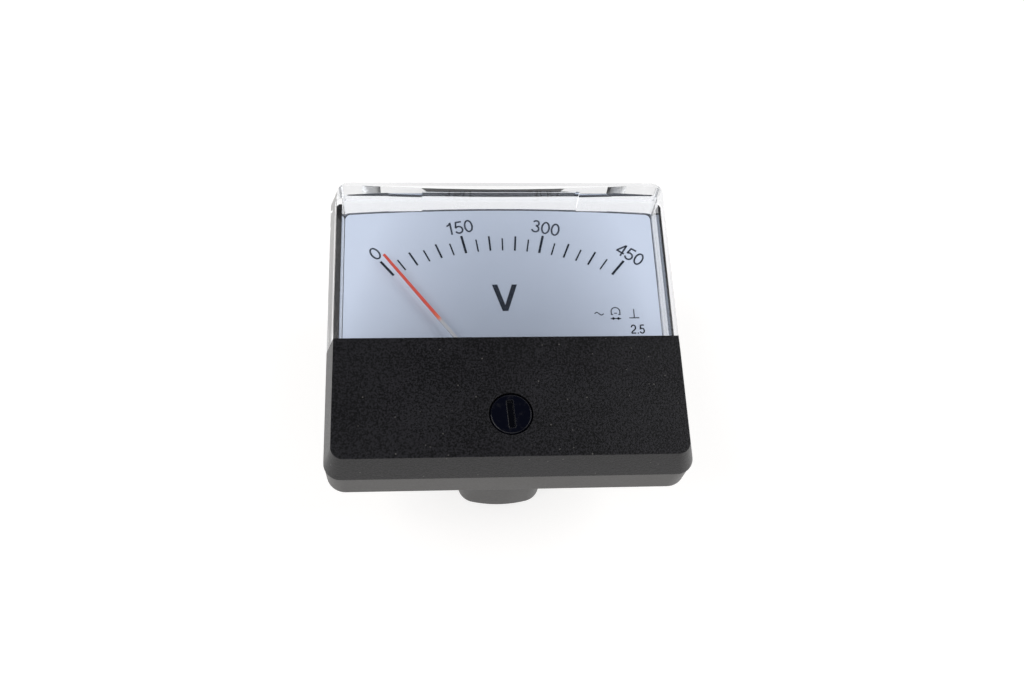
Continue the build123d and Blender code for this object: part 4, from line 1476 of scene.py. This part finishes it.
@dataclass
class MountingStuds:
    """The four threaded studs that hold the meter in a panel, with their roots. Sizes are in mm."""

    places: tuple[Point, ...] = ((-20.0, -17.0), (-20.0, 17.0), (20.0, -17.0), (20.0, 17.0))
    radius: float = 1.5
    pitch: float = 0.5
    end_z: float = -11.5
    thread_top_z: float = -0.6
    root_radius: float = 2.0
    root_top_z: float = 2.0
    root_end_z: float = 0.6
    shank_radius: float = 1.7
    root_steps: int = 48

    def shank_profile(self) -> Profile:
        """The root, the shank and the plain start of the stud.

        Returns:
            Their section.
        """
        return [
            (self.root_top_z, self.root_radius),
            (self.root_end_z, self.root_radius),
            (self.root_end_z, self.shank_radius),
            (0.0, self.shank_radius),
            (0.0, self.radius),
            (self.thread_top_z, self.radius),
        ]

    def build(self) -> None:
        """Builds the studs over their CAD node."""
        root = turned_mesh("root", self.shank_profile(), False, self.root_steps)
        roots = CopyTree().laid_out(root, self.places, 0.0, ZINC_STEEL)
        thread = Thread(self.places, self.radius, self.pitch, self.thread_top_z, self.end_z)
        threads = thread.mesh("mounting_threads", ZINC_STEEL)
        for name, mesh in (("mounting_roots", roots), ("mounting_threads", threads)):
            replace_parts(new_piece(name, mesh, "base"), "mounting_studs")


@dataclass
class Rear:
    """The housing, and the terminals and mounting studs behind it."""

    terminals: Terminals
    studs: MountingStuds

    def build(self) -> None:
        """Dresses the housing and builds the hardware on it."""
        BASE_BLACK.dress("base_housing")
        self.terminals.build()
        self.studs.build()


@dataclass(frozen=True)
class Softbox:
    """A square lamp that faces the origin. Sizes are in metres and its power is in watts."""

    name: str
    place: Triple
    power: float
    side: float

    def build(self) -> None:
        """Hangs the lamp."""
        lamp = bpy.data.lights.new(self.name, "AREA")
        lamp.shape = "SQUARE"
        lamp.size = self.side
        lamp.energy = self.power
        holder = placed(self.name, lamp)
        holder.location = self.place
        holder.rotation_euler = (-Vector(self.place)).to_track_quat("-Z", "Y").to_euler()


@dataclass
class Studio:
    """The floor, the light and the camera. Sizes are in metres unless their names say mm."""

    floor_z_mm: float = -21.0
    floor_reach: float = 0.8
    overhead: Colour = (0.065, 0.07, 0.085)
    overhead_rise: Point = (0.35, 0.85)
    lamps: tuple[Softbox, ...] = (
        Softbox("front_softbox", (-0.04, -0.40, 0.50), 0.6, 0.5),
        Softbox("left_softbox", (-0.37, -0.02, 0.46), 1.4, 0.4),
        Softbox("right_softbox", (0.38, 0.08, 0.45), 1.3, 0.4),
    )
    camera_place: Triple = (-0.01193, -0.07030, 0.15453)
    camera_right: Triple = (0.9969, -0.0406, 0.0679)
    camera_up: Triple = (0.0085, 0.9083, 0.4182)
    camera_back: Triple = (-0.0786, -0.4163, 0.9058)
    camera_near: float = 0.01
    lens_mm: float = 39.84
    sensor_mm: float = 36.0

    def build_floor(self) -> None:
        """Lays the paper floor."""
        reach, z = self.floor_reach, self.floor_z_mm * MM
        mesh = bpy.data.meshes.new("floor")
        corners = [(-reach, -reach, z), (reach, -reach, z), (reach, reach, z), (-reach, reach, z)]
        mesh.from_pydata(corners, [], [(0, 1, 2, 3)])
        mesh.materials.append(FloorPaper("floor_paper").material())
        floor = placed("floor", mesh)

    def build_light(self) -> None:
        """Sets a pale surround that is darker overhead, and soft lamps at the front and the sides."""
        scene = bpy.context.scene
        world = scene.world or bpy.data.worlds.new("surround")
        scene.world = world
        world.use_nodes = True
        world.node_tree.nodes.clear()
        graph = ShaderGraph(world.node_tree)
        way = graph.add("ShaderNodeTexCoord").outputs["Generated"]
        rise = graph.number(graph.add("ShaderNodeSeparateXYZ", None, {0: way}), 2)
        colour = graph.mix(graph.ranged(rise, *self.overhead_rise), WHITE, self.overhead)
        back = graph.add("ShaderNodeBackground", None, {"Color": colour, "Strength": 1.0})
        graph.add("ShaderNodeOutputWorld", None, {"Surface": back})
        for lamp in self.lamps:
            lamp.build()

    def build_camera(self) -> None:
        """Sets the camera where the photograph was taken from."""
        camera = bpy.data.cameras.new("camera")
        camera.lens = self.lens_mm
        camera.sensor_width = self.sensor_mm
        camera.clip_start = self.camera_near
        holder = placed("camera", camera)
        turned = Matrix((self.camera_right, self.camera_up, self.camera_back)).transposed()
        holder.matrix_world = Matrix.Translation(self.camera_place) @ turned.to_4x4()
        bpy.context.scene.camera = holder

    def build(self) -> None:
        """Builds the whole studio."""
        self.build_floor()
        self.build_light()
        self.build_camera()
        bpy.context.scene.view_settings.view_transform = "Standard"


def main() -> None:
    """Builds the studio and the meter."""
    logging.basicConfig(level=logging.INFO, format="%(name)s: %(message)s")
    for assembly in (Studio(), FrontCover(), DialPrint(), Movement(), Rear(Terminals(), MountingStuds())):
        assembly.build()
        LOG.info("%s is built", type(assembly).__name__)


if __name__ == "__main__":
    main()
